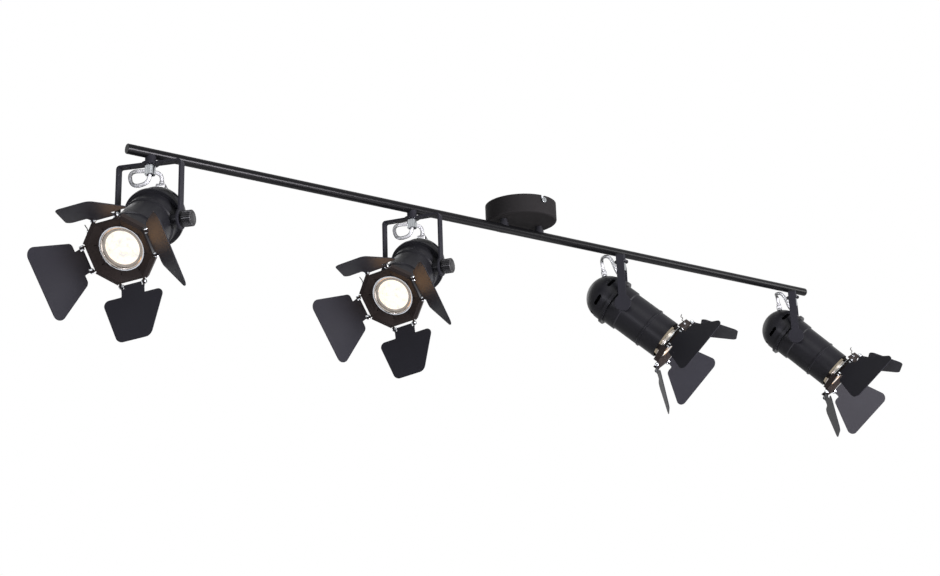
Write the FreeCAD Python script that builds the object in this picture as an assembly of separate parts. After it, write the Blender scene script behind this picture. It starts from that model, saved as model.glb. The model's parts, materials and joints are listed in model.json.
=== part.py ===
import FreeCAD, Part
import math
import os

Vector = FreeCAD.Vector
Placement = FreeCAD.Placement
Rotation = FreeCAD.Rotation

# Ceiling bar spotlight. Millimetres, +Z up, ceiling face at Z 0, bar along X.

# How far a cutting tool runs past the faces it cuts
OVERRUN = 1.0

# Canopy and its ceiling bracket
CANOPY_RADIUS = 48.0
CANOPY_HEIGHT = 25.0
CANOPY_WALL = 1.2
CANOPY_EDGE_ROUND = 2.5
NOTCH_WIDTH = 4.6
SIDE_SCREW_DROP = 7.0
SIDE_SCREW_RADIUS = 2.0
SIDE_SCREW_HEAD_RADIUS = 3.6
SIDE_SCREW_HEAD_HEIGHT = 2.6
SCREW_SLOT_WIDTH = 1.0
SCREW_SLOT_LENGTH = 4.4
SCREW_SLOT_DEPTH = 1.0
BRACKET_WIDTH = 18.0
BRACKET_THICKNESS = 1.5
BRACKET_LUG_DROP = 14.0
BRACKET_LUG_CLEARANCE = 0.9
CEILING_SLOT_SPACING = 60.0
CEILING_SLOT_WIDTH = 4.6
CEILING_SLOT_LENGTH = 12.0
SUPPLY_HOLE_RADIUS = 6.5
TERMINAL_LENGTH = 30.0
TERMINAL_DEPTH = 16.0
TERMINAL_HEIGHT = 13.0
TERMINAL_POLES = 3
TERMINAL_WIRE_RADIUS = 2.0
TERMINAL_WIRE_HEIGHT = 5.0
TERMINAL_SCREW_RADIUS = 2.2
TERMINAL_GROOVE_WIDTH = 1.6
TERMINAL_GROOVE_DEPTH = 4.0

# Bar and the two posts that carry it
BAR_DROP = 38.0
BAR_RADIUS = 6.0
BAR_WALL = 1.0
BAR_LENGTH = 1138.0
BAR_END_OVERHANG = 29.0
BAR_END_THICKNESS = 2.0
BAR_END_CHAMFER = 0.5
POST_SPACING = 61.0
POST_RADIUS = 5.0
POST_RING_RADIUS = 6.4
POST_RING_HEIGHT = 2.0
POST_RING_WRAP = 60.0
POST_SPIGOT_RADIUS = 4.0
POST_SPIGOT_RISE = 4.0
POST_BORE_RADIUS = 2.4

# Heads along the bar: turn about the vertical, then nose-down tilt, in degrees
HEAD_TURN = (-50.5, -58.8, 44.0, 38.5)
HEAD_TILT = (38.3, 37.2, 41.5, 45.0)
# How far each front frame is turned in its housing, in degrees
FRAME_TURN = (8.0, 10.0, -5.2, -10.5)
# Opening of each leaf from the head's own axis: left, right, top, bottom
LEAF_OPENING = (
    (41.5, 21.5, 31.5, 47.0),
    (41.0, 23.5, 31.5, 48.5),
    (46.5, 49.0, 25.0, 37.5),
    (25.0, 44.0, 28.0, 33.0),
)

# Swivel under the bar
SLEEVE_RADIUS = 6.2
SLEEVE_SADDLE_RISE = 3.0
NIPPLE_RADIUS = 4.0
NIPPLE_BORE_RADIUS = 1.8
NIPPLE_REACH = 22.0
NUT_RADIUS = 6.2
NUT_HEIGHT = 12.0
NUT_FLUTES = 12
NUT_FLUTE_RADIUS = 0.7
NUT_FLUTE_OFFSET = 0.245
NUT_CHAMFER = 0.6
RUNNING_GAP = 0.05

# Yoke
STRAP_DROP = 13.0
STRAP_WIDTH = 11.0
STRAP_THICKNESS = 2.5
STRAP_DISC_RADIUS = 9.8
LEG_CLEARANCE = 2.25
LEG_END_RADIUS = 11.5
YOKE_BEND_RADIUS = 4.5
PIVOT_DROP = 83.5
PIVOT_RADIUS = 3.0

# Lamp housing, measured along the head's axis from the tilt pivot, forwards positive
HOUSING_WALL = 1.2
FLANGE_LIP = 2.5
FLANGE_BACK = -19.5
FLANGE_FRONT = -15.0
SECTION_A_STEP = 1.6
SECTION_A_FRONT = 3.0
SECTION_TAPER = 1.5
SECTION_B_STEP = 0.8
BEAD_BACK = 42.0
BEAD_WIDTH = 3.5
BEAD_RISE = 0.8
BEAD_EDGE = 0.7
HOUSING_FRONT = 72.0
BRIDGE_BACK = 12.0
BRIDGE_THICKNESS = 1.5
BRIDGE_HOLE_RADIUS = 5.0
BRIDGE_VENT_RADIUS = 4.5
BRIDGE_VENT_ORBIT = 21.0
BOSS_RADIUS = 7.0
BOSS_ROOT = 20.0
BOSS_GAP = 0.35

# Rear dome
DOME_STEP = 1.9
DOME_WALL = 1.2
DOME_SKIRT = 7.0
VENT_COUNT = 6
VENT_LENGTH = 17.0
VENT_WIDTH = 5.0
VENT_END_FLAT = 0.2
VENT_CUT_START = 18.0
VENT_SETBACK = 6.5
GLAND_LATITUDE = 40.0
GLAND_ROLL = 1.0
GLAND_HOLE_RADIUS = 2.8

# Lamp and lampholder
LAMP_FACE = 79.0
LAMP_RADIUS = 25.0
LAMP_RIM_HEIGHT = 5.0
LAMP_RIM_EDGE = 1.0
LAMP_RIM_WIDTH = 2.6
LAMP_SHOULDER_RADIUS = 22.8
LAMP_SHOULDER_DROP = 4.0
LAMP_BOWL_RADIUS = 18.5
LAMP_BOWL_HEIGHT = 58.0
LAMP_NECK_RADIUS = 11.0
LAMP_NECK_FRONT = 44.0
LAMP_BASE_BACK = 32.0
LAMP_BASE_CHAMFER = 1.5
LAMP_BASE_CHAMFER_HEIGHT = 2.0
LAMP_FACE_DEPTH = 2.2
LAMP_FACE_RADIUS = 20.5
LAMP_PIN_RADIUS = 2.4
LAMP_PIN_SPACING = 10.0
LAMP_PIN_LENGTH = 7.0
HOLDER_RADIUS = 13.5
HOLDER_PIN_CLEARANCE = 0.15
HOLDER_HOLE_DEPTH = 9.0
HOLDER_WIRE_RADIUS = 2.0

# Octagonal front frame
FRAME_BACK = 80.5
FRAME_DEPTH = 6.1
FRAME_FLARE = 9.2
FRAME_FIT = 0.4
FRAME_LAMP_GAP = 0.6
FRAME_SHEET = 1.0
FRAME_SIDES = 8
FRAME_TAB_WIDTH = 8.0
FRAME_TAB_REACH = 14.0
FRAME_STOP_HEIGHT = 1.0
FRAME_STOP_REACH = 1.2
SKIRT_DEPTH = 7.5
SKIRT_WIDTH = 27.0
SKIRT_OFFSET = 2.8
SKIRT_RIM_OVERLAP = 1.6
NOTCH_SLIT_WIDTH = 1.2
NOTCH_SLIT_LENGTH = 4.0
NOTCH_SLIT_START = 20.0
NOTCH_SLIT_SILL = 0.2

# Leaves and their hinges
HINGE_OUTSET = 3.4
HINGE_RISE = 0.6
HINGE_PIN_RADIUS = 1.3
EAR_GAP = 0.1
LEAF_EAR_INNER = 12.9
EAR_SHEET = 1.0
EAR_RADIUS = 2.9
EAR_ROOT = 2.0
EAR_WEB_RISE = 1.0
LEAF_EAR_RADIUS = 2.7
LEAF_WEB_REACH = 1.5
HINGE_HEAD_RADIUS = 2.5
HINGE_HEAD_HEIGHT = 1.6
HINGE_HEAD_ROUND = 0.7
HINGE_NUT_RADIUS = 2.3
HINGE_NUT_GAP = 0.1
LEAF_SHEET = 1.0
LEAF_TAB_START = 3.4
# The tongue between a leaf's two hinge nuts, which runs on past the hinge's axis
LEAF_TONGUE_PAST = 0.7
LEAF_TONGUE_GAP = 0.6
SIDE_LEAF_INNER = 10.8
SIDE_LEAF_OUTER = 69.0
SIDE_LEAF_INNER_HALF = 24.0
SIDE_LEAF_OUTER_HALF = 46.0
CROSS_LEAF_INNER = 12.5
CROSS_LEAF_OUTER = 64.0
CROSS_LEAF_INNER_HALF = 38.0
CROSS_LEAF_OUTER_HALF = 20.0
LEAF_CORNER_RADIUS = 9.0
LEAF_HEEL_RADIUS = 6.0
TAB_CORNER_RADIUS = 1.0
TAB_ROOT_RADIUS = 0.2

# Tilt knob on each head's own left
KNOB_RADIUS = 9.4
KNOB_LENGTH = 11.0
KNOB_COLLAR_RADIUS = 6.0
KNOB_COLLAR_LENGTH = 3.0
KNOB_RIBS = 24
KNOB_RIB_RADIUS = 0.8
KNOB_EDGE = 0.8
KNOB_STUD_CLEARANCE = 0.4

# Lamp cable with its moulded strain relief
CABLE_RADIUS = 2.4
CABLE_START_GAP = 0.8
GLAND_LENGTH = 11.6
GLAND_DEPTH = 8.0
GLAND_HEIGHT = 8.0
GLAND_CORNER_RADIUS = 1.5
GLAND_SINK = 3.0
GLAND_EAR_RADIUS = 3.2
GLAND_EAR_HEIGHT = 2.4
# Corners of the cable's run under the bar: left, forward, up from the bar's axis
CABLE_CORNERS = (
    (-1.5, -1.0, -35.0),
    (-25.0, -6.0, -36.0),
    (-33.0, -13.0, -14.0),
    (-20.0, -25.0, -9.0),
)
CABLE_GLAND_RISE = 15.0
# Share of the shorter neighbouring run that a bend takes up
BEND_SHARE = 0.45

# Places along the bar and up from it
BAR_Z = -BAR_DROP
HEAD_COUNT = len(HEAD_TURN)
HEAD_SPACING = (BAR_LENGTH - 2 * BAR_END_OVERHANG) / (HEAD_COUNT - 1)
BRACKET_LUG_OFFSET = CANOPY_RADIUS - CANOPY_WALL - BRACKET_LUG_CLEARANCE
# Each round of the head clears the one inside it, from the lamp outwards
FRAME_BACK_APOTHEM = LAMP_RADIUS + FRAME_LAMP_GAP + FRAME_SHEET
SECTION_C_RADIUS = FRAME_BACK_APOTHEM + FRAME_FIT + HOUSING_WALL
SECTION_B_RADIUS = SECTION_C_RADIUS + SECTION_B_STEP
BEAD_RADIUS = SECTION_B_RADIUS + BEAD_RISE
SECTION_A_RADIUS = SECTION_B_RADIUS + SECTION_A_STEP
DOME_RADIUS = SECTION_A_RADIUS + DOME_STEP
FLANGE_RADIUS = DOME_RADIUS + FLANGE_LIP
LEG_INNER = FLANGE_RADIUS + LEG_CLEARANCE
LEG_OUTER = LEG_INNER + STRAP_THICKNESS
KNOB_STUD_END = SECTION_A_RADIUS + KNOB_STUD_CLEARANCE
# Places along the head's axis
BEAD_FRONT = BEAD_BACK + BEAD_WIDTH
DOME_CENTRE = FLANGE_BACK - DOME_SKIRT
VENT_POSITION = DOME_CENTRE - VENT_SETBACK
VENT_CORNER_RADIUS = (VENT_WIDTH - VENT_END_FLAT) / 2.0
FRAME_TAB_BACK = HOUSING_FRONT - FRAME_TAB_REACH
FRAME_FRONT = FRAME_BACK + FRAME_DEPTH
FRAME_FRONT_APOTHEM = FRAME_BACK_APOTHEM + FRAME_FLARE
SKIRT_APOTHEM = FRAME_FRONT_APOTHEM + SKIRT_OFFSET
HINGE_OFFSET = FRAME_FRONT_APOTHEM + HINGE_OUTSET
HINGE_FORWARD = FRAME_FRONT + HINGE_RISE
FRAME_EAR_INNER = LEAF_EAR_INNER + EAR_SHEET + EAR_GAP
NUT_FLUTE_ORBIT = NUT_RADIUS + NUT_FLUTE_OFFSET
HOLDER_BACK = BRIDGE_BACK + BRIDGE_THICKNESS
X_AXIS = Vector(1, 0, 0)
Y_AXIS = Vector(0, 1, 0)
Z_AXIS = Vector(0, 0, 1)
ORIGIN = Vector(0, 0, 0)


def cylinder(radius, height, base=ORIGIN, direction=Z_AXIS):
    """A round bar from base along direction."""
    return Part.makeCylinder(radius, height, base, direction)


def block(x0, x1, y0, y1, z0, z1):
    """A box between two corners."""
    return Part.makeBox(x1 - x0, y1 - y0, z1 - z0, Vector(x0, y0, z0))


def turned(profile):
    """A solid of revolution about Z from (radius, height) corners."""
    points = [Vector(r, 0, z) for r, z in profile]
    points.append(points[0])
    face = Part.Face(Part.makePolygon(points))
    return face.revolve(ORIGIN, Z_AXIS, 360)


def rounded_outline(corners):
    """A closed wire in XY through (x, y, radius) corners, sharp where the radius is 0."""
    count = len(corners)
    starts = []
    arcs = []
    ends = []
    for i in range(count):
        x, y, radius = corners[i]
        here = Vector(x, y, 0)
        before = Vector(corners[i - 1][0], corners[i - 1][1], 0)
        after = Vector(corners[(i + 1) % count][0], corners[(i + 1) % count][1], 0)
        back = before.sub(here).normalize()
        ahead = after.sub(here).normalize()
        half = back.getAngle(ahead) / 2.0
        reach = radius / math.tan(half)
        start = here + back * reach
        end = here + ahead * reach
        middle_direction = (back + ahead).normalize()
        centre = here + middle_direction * (radius / math.sin(half))
        starts.append(start)
        arcs.append(centre - middle_direction * radius)
        ends.append(end)
    edges = []
    for i in range(count):
        if corners[i][2] > 0:
            edges.append(Part.Arc(starts[i], arcs[i], ends[i]).toShape())
        edges.append(Part.LineSegment(ends[i], starts[(i + 1) % count]).toShape())
    return Part.Wire(edges)


def octagon(apothem, height):
    """A regular octagon wire with flats square to X and Y."""
    reach = apothem / math.cos(math.pi / FRAME_SIDES)
    points = []
    for i in range(FRAME_SIDES + 1):
        angle = (i + 0.5) * 2.0 * math.pi / FRAME_SIDES
        points.append(Vector(reach * math.cos(angle), reach * math.sin(angle), height))
    return Part.makePolygon(points)


def save(name, solids):
    """Write one named part, a single solid or a group of equal ones."""
    solids = solids if isinstance(solids, list) else [solids]
    shape = solids[0] if len(solids) == 1 else Part.makeCompound(solids)
    shape.exportStep(os.path.join("parts", name + ".step"))
    print(name, len(solids), round(sum(s.Volume for s in solids), 1))


def head_x(index):
    """Where a head hangs along the bar."""
    return (index - (HEAD_COUNT - 1) / 2.0) * HEAD_SPACING


def yoke_place(index):
    """From a yoke's own frame (X left, -Y forward, origin on the bar's axis)."""
    return Placement(Vector(head_x(index), 0, BAR_Z), Rotation(Z_AXIS, HEAD_TURN[index]))


def head_place(index):
    """From a head's own frame (X left, Y up, Z forward, origin on the tilt pivot)."""
    down = Placement(Vector(0, 0, -PIVOT_DROP), Rotation(X_AXIS, 90.0 + HEAD_TILT[index]))
    return yoke_place(index).multiply(down)


def frame_place(index):
    """From the front frame's own frame, turned in the housing about the head's axis."""
    return head_place(index).multiply(Placement(ORIGIN, Rotation(Z_AXIS, FRAME_TURN[index])))


def placed(shape, placement):
    """A copy of a shape carried by a placement."""
    return shape.transformed(placement.toMatrix(), True)


def canopy_cup():
    """Cup with a flat side wall, closed below, notched for its two side screws."""
    outer = cylinder(CANOPY_RADIUS, CANOPY_HEIGHT, Vector(0, 0, -CANOPY_HEIGHT))
    bottom_edges = [e for e in outer.Edges if abs(e.BoundBox.ZMax + CANOPY_HEIGHT) < 1e-6]
    outer = outer.makeFillet(CANOPY_EDGE_ROUND, bottom_edges)
    inside = cylinder(CANOPY_RADIUS - CANOPY_WALL, CANOPY_HEIGHT, Vector(0, 0, CANOPY_WALL - CANOPY_HEIGHT))
    cup = outer.cut(inside)
    half = NOTCH_WIDTH / 2.0
    reach = CANOPY_RADIUS + OVERRUN
    notch = block(-half, half, -reach, reach, -SIDE_SCREW_DROP, OVERRUN)
    round_end = cylinder(half, 2 * reach, Vector(0, -reach, -SIDE_SCREW_DROP), Y_AXIS)
    cup = cup.cut(notch).cut(round_end)
    for side in (-1, 1):
        at = Vector(side * POST_SPACING / 2.0, 0, -CANOPY_HEIGHT - OVERRUN)
        cup = cup.cut(cylinder(POST_SPIGOT_RADIUS, CANOPY_WALL + 2 * OVERRUN, at))
    return cup


def ceiling_bracket():
    """Strip against the ceiling with two slots and turned-down lugs for the side screws."""
    half = BRACKET_WIDTH / 2.0
    reach = BRACKET_LUG_OFFSET
    below = -BRACKET_THICKNESS - OVERRUN
    through = BRACKET_THICKNESS + 2 * OVERRUN
    strip = block(-half, half, -reach, reach, -BRACKET_THICKNESS, 0)
    for side in (-1, 1):
        y0, y1 = sorted((side * reach, side * (reach - BRACKET_THICKNESS)))
        strip = strip.fuse(block(-half, half, y0, y1, -BRACKET_LUG_DROP, 0))
        screw_at = Vector(0, y0 - OVERRUN, -SIDE_SCREW_DROP)
        strip = strip.cut(cylinder(SIDE_SCREW_RADIUS, through, screw_at, Y_AXIS))
        middle = side * CEILING_SLOT_SPACING / 2.0
        run = (CEILING_SLOT_LENGTH - CEILING_SLOT_WIDTH) / 2.0
        slot_half = CEILING_SLOT_WIDTH / 2.0
        slot = block(-slot_half, slot_half, middle - run, middle + run, below, OVERRUN)
        for end in (-run, run):
            slot = slot.fuse(cylinder(slot_half, through, Vector(0, middle + end, below)))
        strip = strip.cut(slot)
    strip = strip.cut(cylinder(SUPPLY_HOLE_RADIUS, through, Vector(0, 0, below)))
    return strip.removeSplitter()


def canopy_side_screws():
    """Two chrome screws through the wall's notches into the bracket's lugs."""
    screws = []
    wall = cylinder(CANOPY_RADIUS, CANOPY_HEIGHT, Vector(0, 0, -CANOPY_HEIGHT))
    for side in (-1, 1):
        direction = Vector(0, side, 0)
        tip = Vector(0, side * (BRACKET_LUG_OFFSET - BRACKET_THICKNESS - OVERRUN), -SIDE_SCREW_DROP)
        length = CANOPY_RADIUS + SIDE_SCREW_HEAD_HEIGHT / 2.0 - abs(tip.y)
        shank = cylinder(SIDE_SCREW_RADIUS, length, tip, direction)
        head_at = Vector(0, side * (CANOPY_RADIUS - OVERRUN), -SIDE_SCREW_DROP)
        head_length = SIDE_SCREW_HEAD_HEIGHT + OVERRUN
        head = cylinder(SIDE_SCREW_HEAD_RADIUS, head_length, head_at, direction).cut(wall)
        half_width = SCREW_SLOT_WIDTH / 2.0
        half_length = SCREW_SLOT_LENGTH / 2.0
        cross = block(-half_width, half_width, -SCREW_SLOT_DEPTH, SCREW_SLOT_DEPTH, -half_length, half_length)
        cross.translate(Vector(0, side * (CANOPY_RADIUS + SIDE_SCREW_HEAD_HEIGHT), -SIDE_SCREW_DROP))
        screws.append(shank.fuse(head).cut(cross).removeSplitter())
    return screws


def terminal_block():
    """Three-pole connector standing on the canopy's floor."""
    floor = CANOPY_WALL - CANOPY_HEIGHT
    half_x = TERMINAL_LENGTH / 2.0
    half_y = TERMINAL_DEPTH / 2.0
    body = block(-half_x, half_x, -half_y, half_y, floor, floor + TERMINAL_HEIGHT)
    pitch = TERMINAL_LENGTH / TERMINAL_POLES
    for i in range(TERMINAL_POLES):
        x = -half_x + pitch * (i + 0.5)
        wire_at = Vector(x, -half_y - OVERRUN, floor + TERMINAL_WIRE_HEIGHT)
        wire = cylinder(TERMINAL_WIRE_RADIUS, TERMINAL_DEPTH + 2 * OVERRUN, wire_at, Y_AXIS)
        body = body.cut(wire)
        for side in (-1, 1):
            screw_at = Vector(x, side * half_y / 2.0, floor + TERMINAL_WIRE_HEIGHT)
            screw = cylinder(TERMINAL_SCREW_RADIUS, TERMINAL_HEIGHT, screw_at)
            body = body.cut(screw)
        if i > 0:
            edge = -half_x + pitch * i
            half_groove = TERMINAL_GROOVE_WIDTH / 2.0
            groove_floor = floor + TERMINAL_HEIGHT - TERMINAL_GROOVE_DEPTH
            reach = half_y + OVERRUN
            body = body.cut(block(edge - half_groove, edge + half_groove, -reach, reach, groove_floor, 0))
    return body


def bar_cutter(radius):
    """The bar's full round, for saddles."""
    return cylinder(radius, BAR_LENGTH, Vector(-BAR_LENGTH / 2.0, 0, BAR_Z), X_AXIS)


def standoff_posts():
    """Two hollow posts from the canopy's floor to the bar, each with a ring at the bar."""
    posts = []
    for side in (-1, 1):
        x = side * POST_SPACING / 2.0
        length = BAR_DROP - CANOPY_HEIGHT
        body = cylinder(POST_RADIUS, length, Vector(x, 0, BAR_Z))
        ring_bottom = BAR_Z + BAR_RADIUS * math.cos(math.radians(POST_RING_WRAP))
        ring_top = BAR_Z + BAR_RADIUS + POST_RING_HEIGHT
        ring = cylinder(POST_RING_RADIUS, ring_top - ring_bottom, Vector(x, 0, ring_bottom))
        spigot = cylinder(POST_SPIGOT_RADIUS, CANOPY_WALL + POST_SPIGOT_RISE, Vector(x, 0, -CANOPY_HEIGHT))
        post = body.fuse([ring, spigot]).cut(bar_cutter(BAR_RADIUS))
        ring_reach = POST_RING_RADIUS + OVERRUN
        below = block(x - ring_reach, x + ring_reach, -ring_reach, ring_reach, BAR_Z - OVERRUN, BAR_Z)
        post = post.cut(below)
        post = post.cut(cylinder(POST_BORE_RADIUS, BAR_DROP, Vector(x, 0, BAR_Z)))
        posts.append(post.removeSplitter())
    return posts


def bar_tube():
    """Closed-ended round tube, pierced for the wires at posts and swivels."""
    half = BAR_LENGTH / 2.0
    inside_half = half - BAR_END_THICKNESS
    outer = cylinder(BAR_RADIUS, BAR_LENGTH, Vector(-half, 0, BAR_Z), X_AXIS)
    rims = [e for e in outer.Edges if e.BoundBox.XLength < 1e-6]
    outer = outer.makeChamfer(BAR_END_CHAMFER, rims)
    inner_radius = BAR_RADIUS - BAR_WALL
    tube = outer.cut(cylinder(inner_radius, 2 * inside_half, Vector(-inside_half, 0, BAR_Z), X_AXIS))
    for side in (-1, 1):
        x = side * POST_SPACING / 2.0
        tube = tube.cut(cylinder(POST_BORE_RADIUS, BAR_RADIUS + OVERRUN, Vector(x, 0, BAR_Z)))
    for i in range(HEAD_COUNT):
        at = Vector(head_x(i), 0, BAR_Z)
        tube = tube.cut(cylinder(NIPPLE_BORE_RADIUS, BAR_RADIUS + OVERRUN, at, -Z_AXIS))
    return tube


def swivel_sleeve():
    """Saddle sleeve under the bar with its hollow nipple through the yoke strap."""
    shoulder = STRAP_DROP - STRAP_THICKNESS / 2.0 - RUNNING_GAP
    reach = SLEEVE_RADIUS + OVERRUN
    sleeve = cylinder(SLEEVE_RADIUS, shoulder, ORIGIN, -Z_AXIS)
    saddle = cylinder(BAR_RADIUS, 2 * reach, Vector(-reach, 0, 0), X_AXIS)
    above = block(-reach, reach, -reach, reach, -SLEEVE_SADDLE_RISE, OVERRUN)
    sleeve = sleeve.cut(saddle).cut(above)
    nipple_top = Vector(0, 0, -BAR_RADIUS - OVERRUN)
    nipple = cylinder(NIPPLE_RADIUS, NIPPLE_REACH + nipple_top.z, nipple_top, -Z_AXIS)
    bore = cylinder(NIPPLE_BORE_RADIUS, NIPPLE_REACH + OVERRUN, ORIGIN, -Z_AXIS)
    return sleeve.fuse(nipple).cut(bore).removeSplitter()


def swivel_nut():
    """Fluted nut that holds the strap on the nipple, open below for the cable."""
    top = -STRAP_DROP - STRAP_THICKNESS / 2.0 - RUNNING_GAP
    bottom = top - NUT_HEIGHT
    edge = NUT_RADIUS - NUT_CHAMFER
    nut = turned([
        (NIPPLE_RADIUS, top),
        (edge, top),
        (NUT_RADIUS, top - NUT_CHAMFER),
        (NUT_RADIUS, bottom + NUT_CHAMFER),
        (edge, bottom),
        (NIPPLE_RADIUS, bottom),
    ])
    for i in range(NUT_FLUTES):
        angle = 2.0 * math.pi * i / NUT_FLUTES
        at = Vector(NUT_FLUTE_ORBIT * math.cos(angle), NUT_FLUTE_ORBIT * math.sin(angle), bottom - OVERRUN)
        nut = nut.cut(cylinder(NUT_FLUTE_RADIUS, NUT_HEIGHT + 2 * OVERRUN, at))
    return nut


def yoke():
    """Flat-bar stirrup with a disc at the swivel and at each pivot."""
    strap_top = -STRAP_DROP + STRAP_THICKNESS / 2.0
    strap_bottom = strap_top - STRAP_THICKNESS
    inner_bend = YOKE_BEND_RADIUS - STRAP_THICKNESS
    outer_wire = rounded_outline([
        (-LEG_OUTER, -PIVOT_DROP, 0),
        (LEG_OUTER, -PIVOT_DROP, 0),
        (LEG_OUTER, strap_top, YOKE_BEND_RADIUS),
        (-LEG_OUTER, strap_top, YOKE_BEND_RADIUS),
    ])
    inner_wire = rounded_outline([
        (-LEG_INNER, -PIVOT_DROP - OVERRUN, 0),
        (LEG_INNER, -PIVOT_DROP - OVERRUN, 0),
        (LEG_INNER, strap_bottom, inner_bend),
        (-LEG_INNER, strap_bottom, inner_bend),
    ])
    stand = Placement(Vector(0, STRAP_WIDTH / 2.0, 0), Rotation(X_AXIS, 90))
    frame = Part.Face(outer_wire).extrude(Vector(0, 0, STRAP_WIDTH))
    frame = frame.cut(Part.Face(inner_wire).extrude(Vector(0, 0, STRAP_WIDTH)))
    body = placed(frame, stand)
    body = body.fuse(cylinder(STRAP_DISC_RADIUS, STRAP_THICKNESS, Vector(0, 0, strap_bottom)))
    for side in (-1, 1):
        inner = Vector(side * LEG_INNER, 0, -PIVOT_DROP)
        body = body.fuse(cylinder(LEG_END_RADIUS, STRAP_THICKNESS, inner, Vector(side, 0, 0)))
    through = STRAP_THICKNESS + 2 * OVERRUN
    hole = cylinder(NIPPLE_RADIUS + RUNNING_GAP, through, Vector(0, 0, strap_bottom - OVERRUN))
    stud_hole_at = Vector(LEG_INNER - OVERRUN, 0, -PIVOT_DROP)
    stud_hole = cylinder(PIVOT_RADIUS + RUNNING_GAP, through, stud_hole_at, X_AXIS)
    body = body.cut(hole).cut(stud_hole)
    pin_length = LEG_INNER - KNOB_STUD_END + STRAP_THICKNESS / 2.0
    pin_at = Vector(-LEG_INNER - STRAP_THICKNESS / 2.0, 0, -PIVOT_DROP)
    pin = cylinder(PIVOT_RADIUS, pin_length, pin_at, X_AXIS)
    return body.fuse(pin).removeSplitter()


def lamp_housing():
    """Stepped tube with its rear flange, pivot bosses and the bridge for the lampholder."""
    outer = turned([
        (0, FLANGE_BACK),
        (FLANGE_RADIUS, FLANGE_BACK),
        (FLANGE_RADIUS, FLANGE_FRONT),
        (SECTION_A_RADIUS, FLANGE_FRONT),
        (SECTION_A_RADIUS, SECTION_A_FRONT),
        (SECTION_B_RADIUS, SECTION_A_FRONT + SECTION_TAPER),
        (SECTION_B_RADIUS, BEAD_BACK),
        (BEAD_RADIUS, BEAD_BACK + BEAD_EDGE),
        (BEAD_RADIUS, BEAD_FRONT - BEAD_EDGE),
        (SECTION_C_RADIUS, BEAD_FRONT),
        (SECTION_C_RADIUS, HOUSING_FRONT),
        (0, HOUSING_FRONT),
    ])
    for side in (-1, 1):
        length = LEG_INNER - BOSS_GAP - BOSS_ROOT
        outer = outer.fuse(cylinder(BOSS_RADIUS, length, Vector(side * BOSS_ROOT, 0, 0), Vector(side, 0, 0)))
    inner = turned([
        (0, FLANGE_BACK - OVERRUN),
        (SECTION_A_RADIUS - HOUSING_WALL, FLANGE_BACK - OVERRUN),
        (SECTION_A_RADIUS - HOUSING_WALL, SECTION_A_FRONT),
        (SECTION_B_RADIUS - HOUSING_WALL, SECTION_A_FRONT + SECTION_TAPER),
        (SECTION_B_RADIUS - HOUSING_WALL, BEAD_BACK),
        (SECTION_C_RADIUS - HOUSING_WALL, BEAD_FRONT),
        (SECTION_C_RADIUS - HOUSING_WALL, HOUSING_FRONT + OVERRUN),
        (0, HOUSING_FRONT + OVERRUN),
    ])
    body = outer.cut(inner)
    bridge = cylinder(SECTION_B_RADIUS - HOUSING_WALL / 2.0, BRIDGE_THICKNESS, Vector(0, 0, BRIDGE_BACK))
    bridge_cut = BRIDGE_THICKNESS + 2 * OVERRUN
    cut_z = BRIDGE_BACK - OVERRUN
    bridge = bridge.cut(cylinder(BRIDGE_HOLE_RADIUS, bridge_cut, Vector(0, 0, cut_z)))
    for i in range(VENT_COUNT):
        angle = math.pi * 2.0 * (i + 0.5) / VENT_COUNT
        at = Vector(BRIDGE_VENT_ORBIT * math.cos(angle), BRIDGE_VENT_ORBIT * math.sin(angle), cut_z)
        bridge = bridge.cut(cylinder(BRIDGE_VENT_RADIUS, bridge_cut, at))
    body = body.fuse(bridge)
    for side in (-1, 1):
        direction = Vector(side, 0, 0)
        at = Vector(side * BOSS_ROOT, 0, 0)
        body = body.cut(cylinder(PIVOT_RADIUS + RUNNING_GAP, BOSS_ROOT, at, direction))
    return body.removeSplitter()


def gland_rotation():
    """Turns Z to point out of the dome at the strain relief, in the head's frame."""
    return Rotation(Z_AXIS, -GLAND_ROLL).multiply(Rotation(X_AXIS, GLAND_LATITUDE - 180.0))


def gland_direction():
    """Unit vector out of the dome at the strain relief, in the head's frame."""
    return gland_rotation().multVec(Z_AXIS)


def rear_dome():
    """Vented half-sphere shell behind the flange with the cable's entry hole."""
    centre = Vector(0, 0, DOME_CENTRE)
    skirt = FLANGE_BACK - DOME_CENTRE
    reach = DOME_RADIUS + OVERRUN
    inner_radius = DOME_RADIUS - DOME_WALL
    whole = Part.makeSphere(DOME_RADIUS, centre).fuse(cylinder(DOME_RADIUS, skirt, centre))
    hollow = Part.makeSphere(inner_radius, centre).fuse(cylinder(inner_radius, reach, centre))
    front = block(-reach, reach, -reach, reach, FLANGE_BACK, DOME_CENTRE + reach)
    shell = whole.cut(hollow).cut(front)
    half = VENT_LENGTH / 2.0
    outline = rounded_outline([
        (-half, -VENT_WIDTH / 2.0, VENT_CORNER_RADIUS),
        (half, -VENT_WIDTH / 2.0, VENT_CORNER_RADIUS),
        (half, VENT_WIDTH / 2.0, VENT_CORNER_RADIUS),
        (-half, VENT_WIDTH / 2.0, VENT_CORNER_RADIUS),
    ])
    cutter = Part.Face(outline).extrude(Vector(0, 0, reach))
    for i in range(VENT_COUNT):
        upright = Placement(Vector(0, VENT_CUT_START, VENT_POSITION), Rotation(X_AXIS, -90))
        around = Placement(ORIGIN, Rotation(Z_AXIS, 360.0 * i / VENT_COUNT))
        shell = shell.cut(placed(cutter, around.multiply(upright)))
    return shell.cut(cylinder(GLAND_HOLE_RADIUS, reach, centre, gland_direction()))


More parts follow.
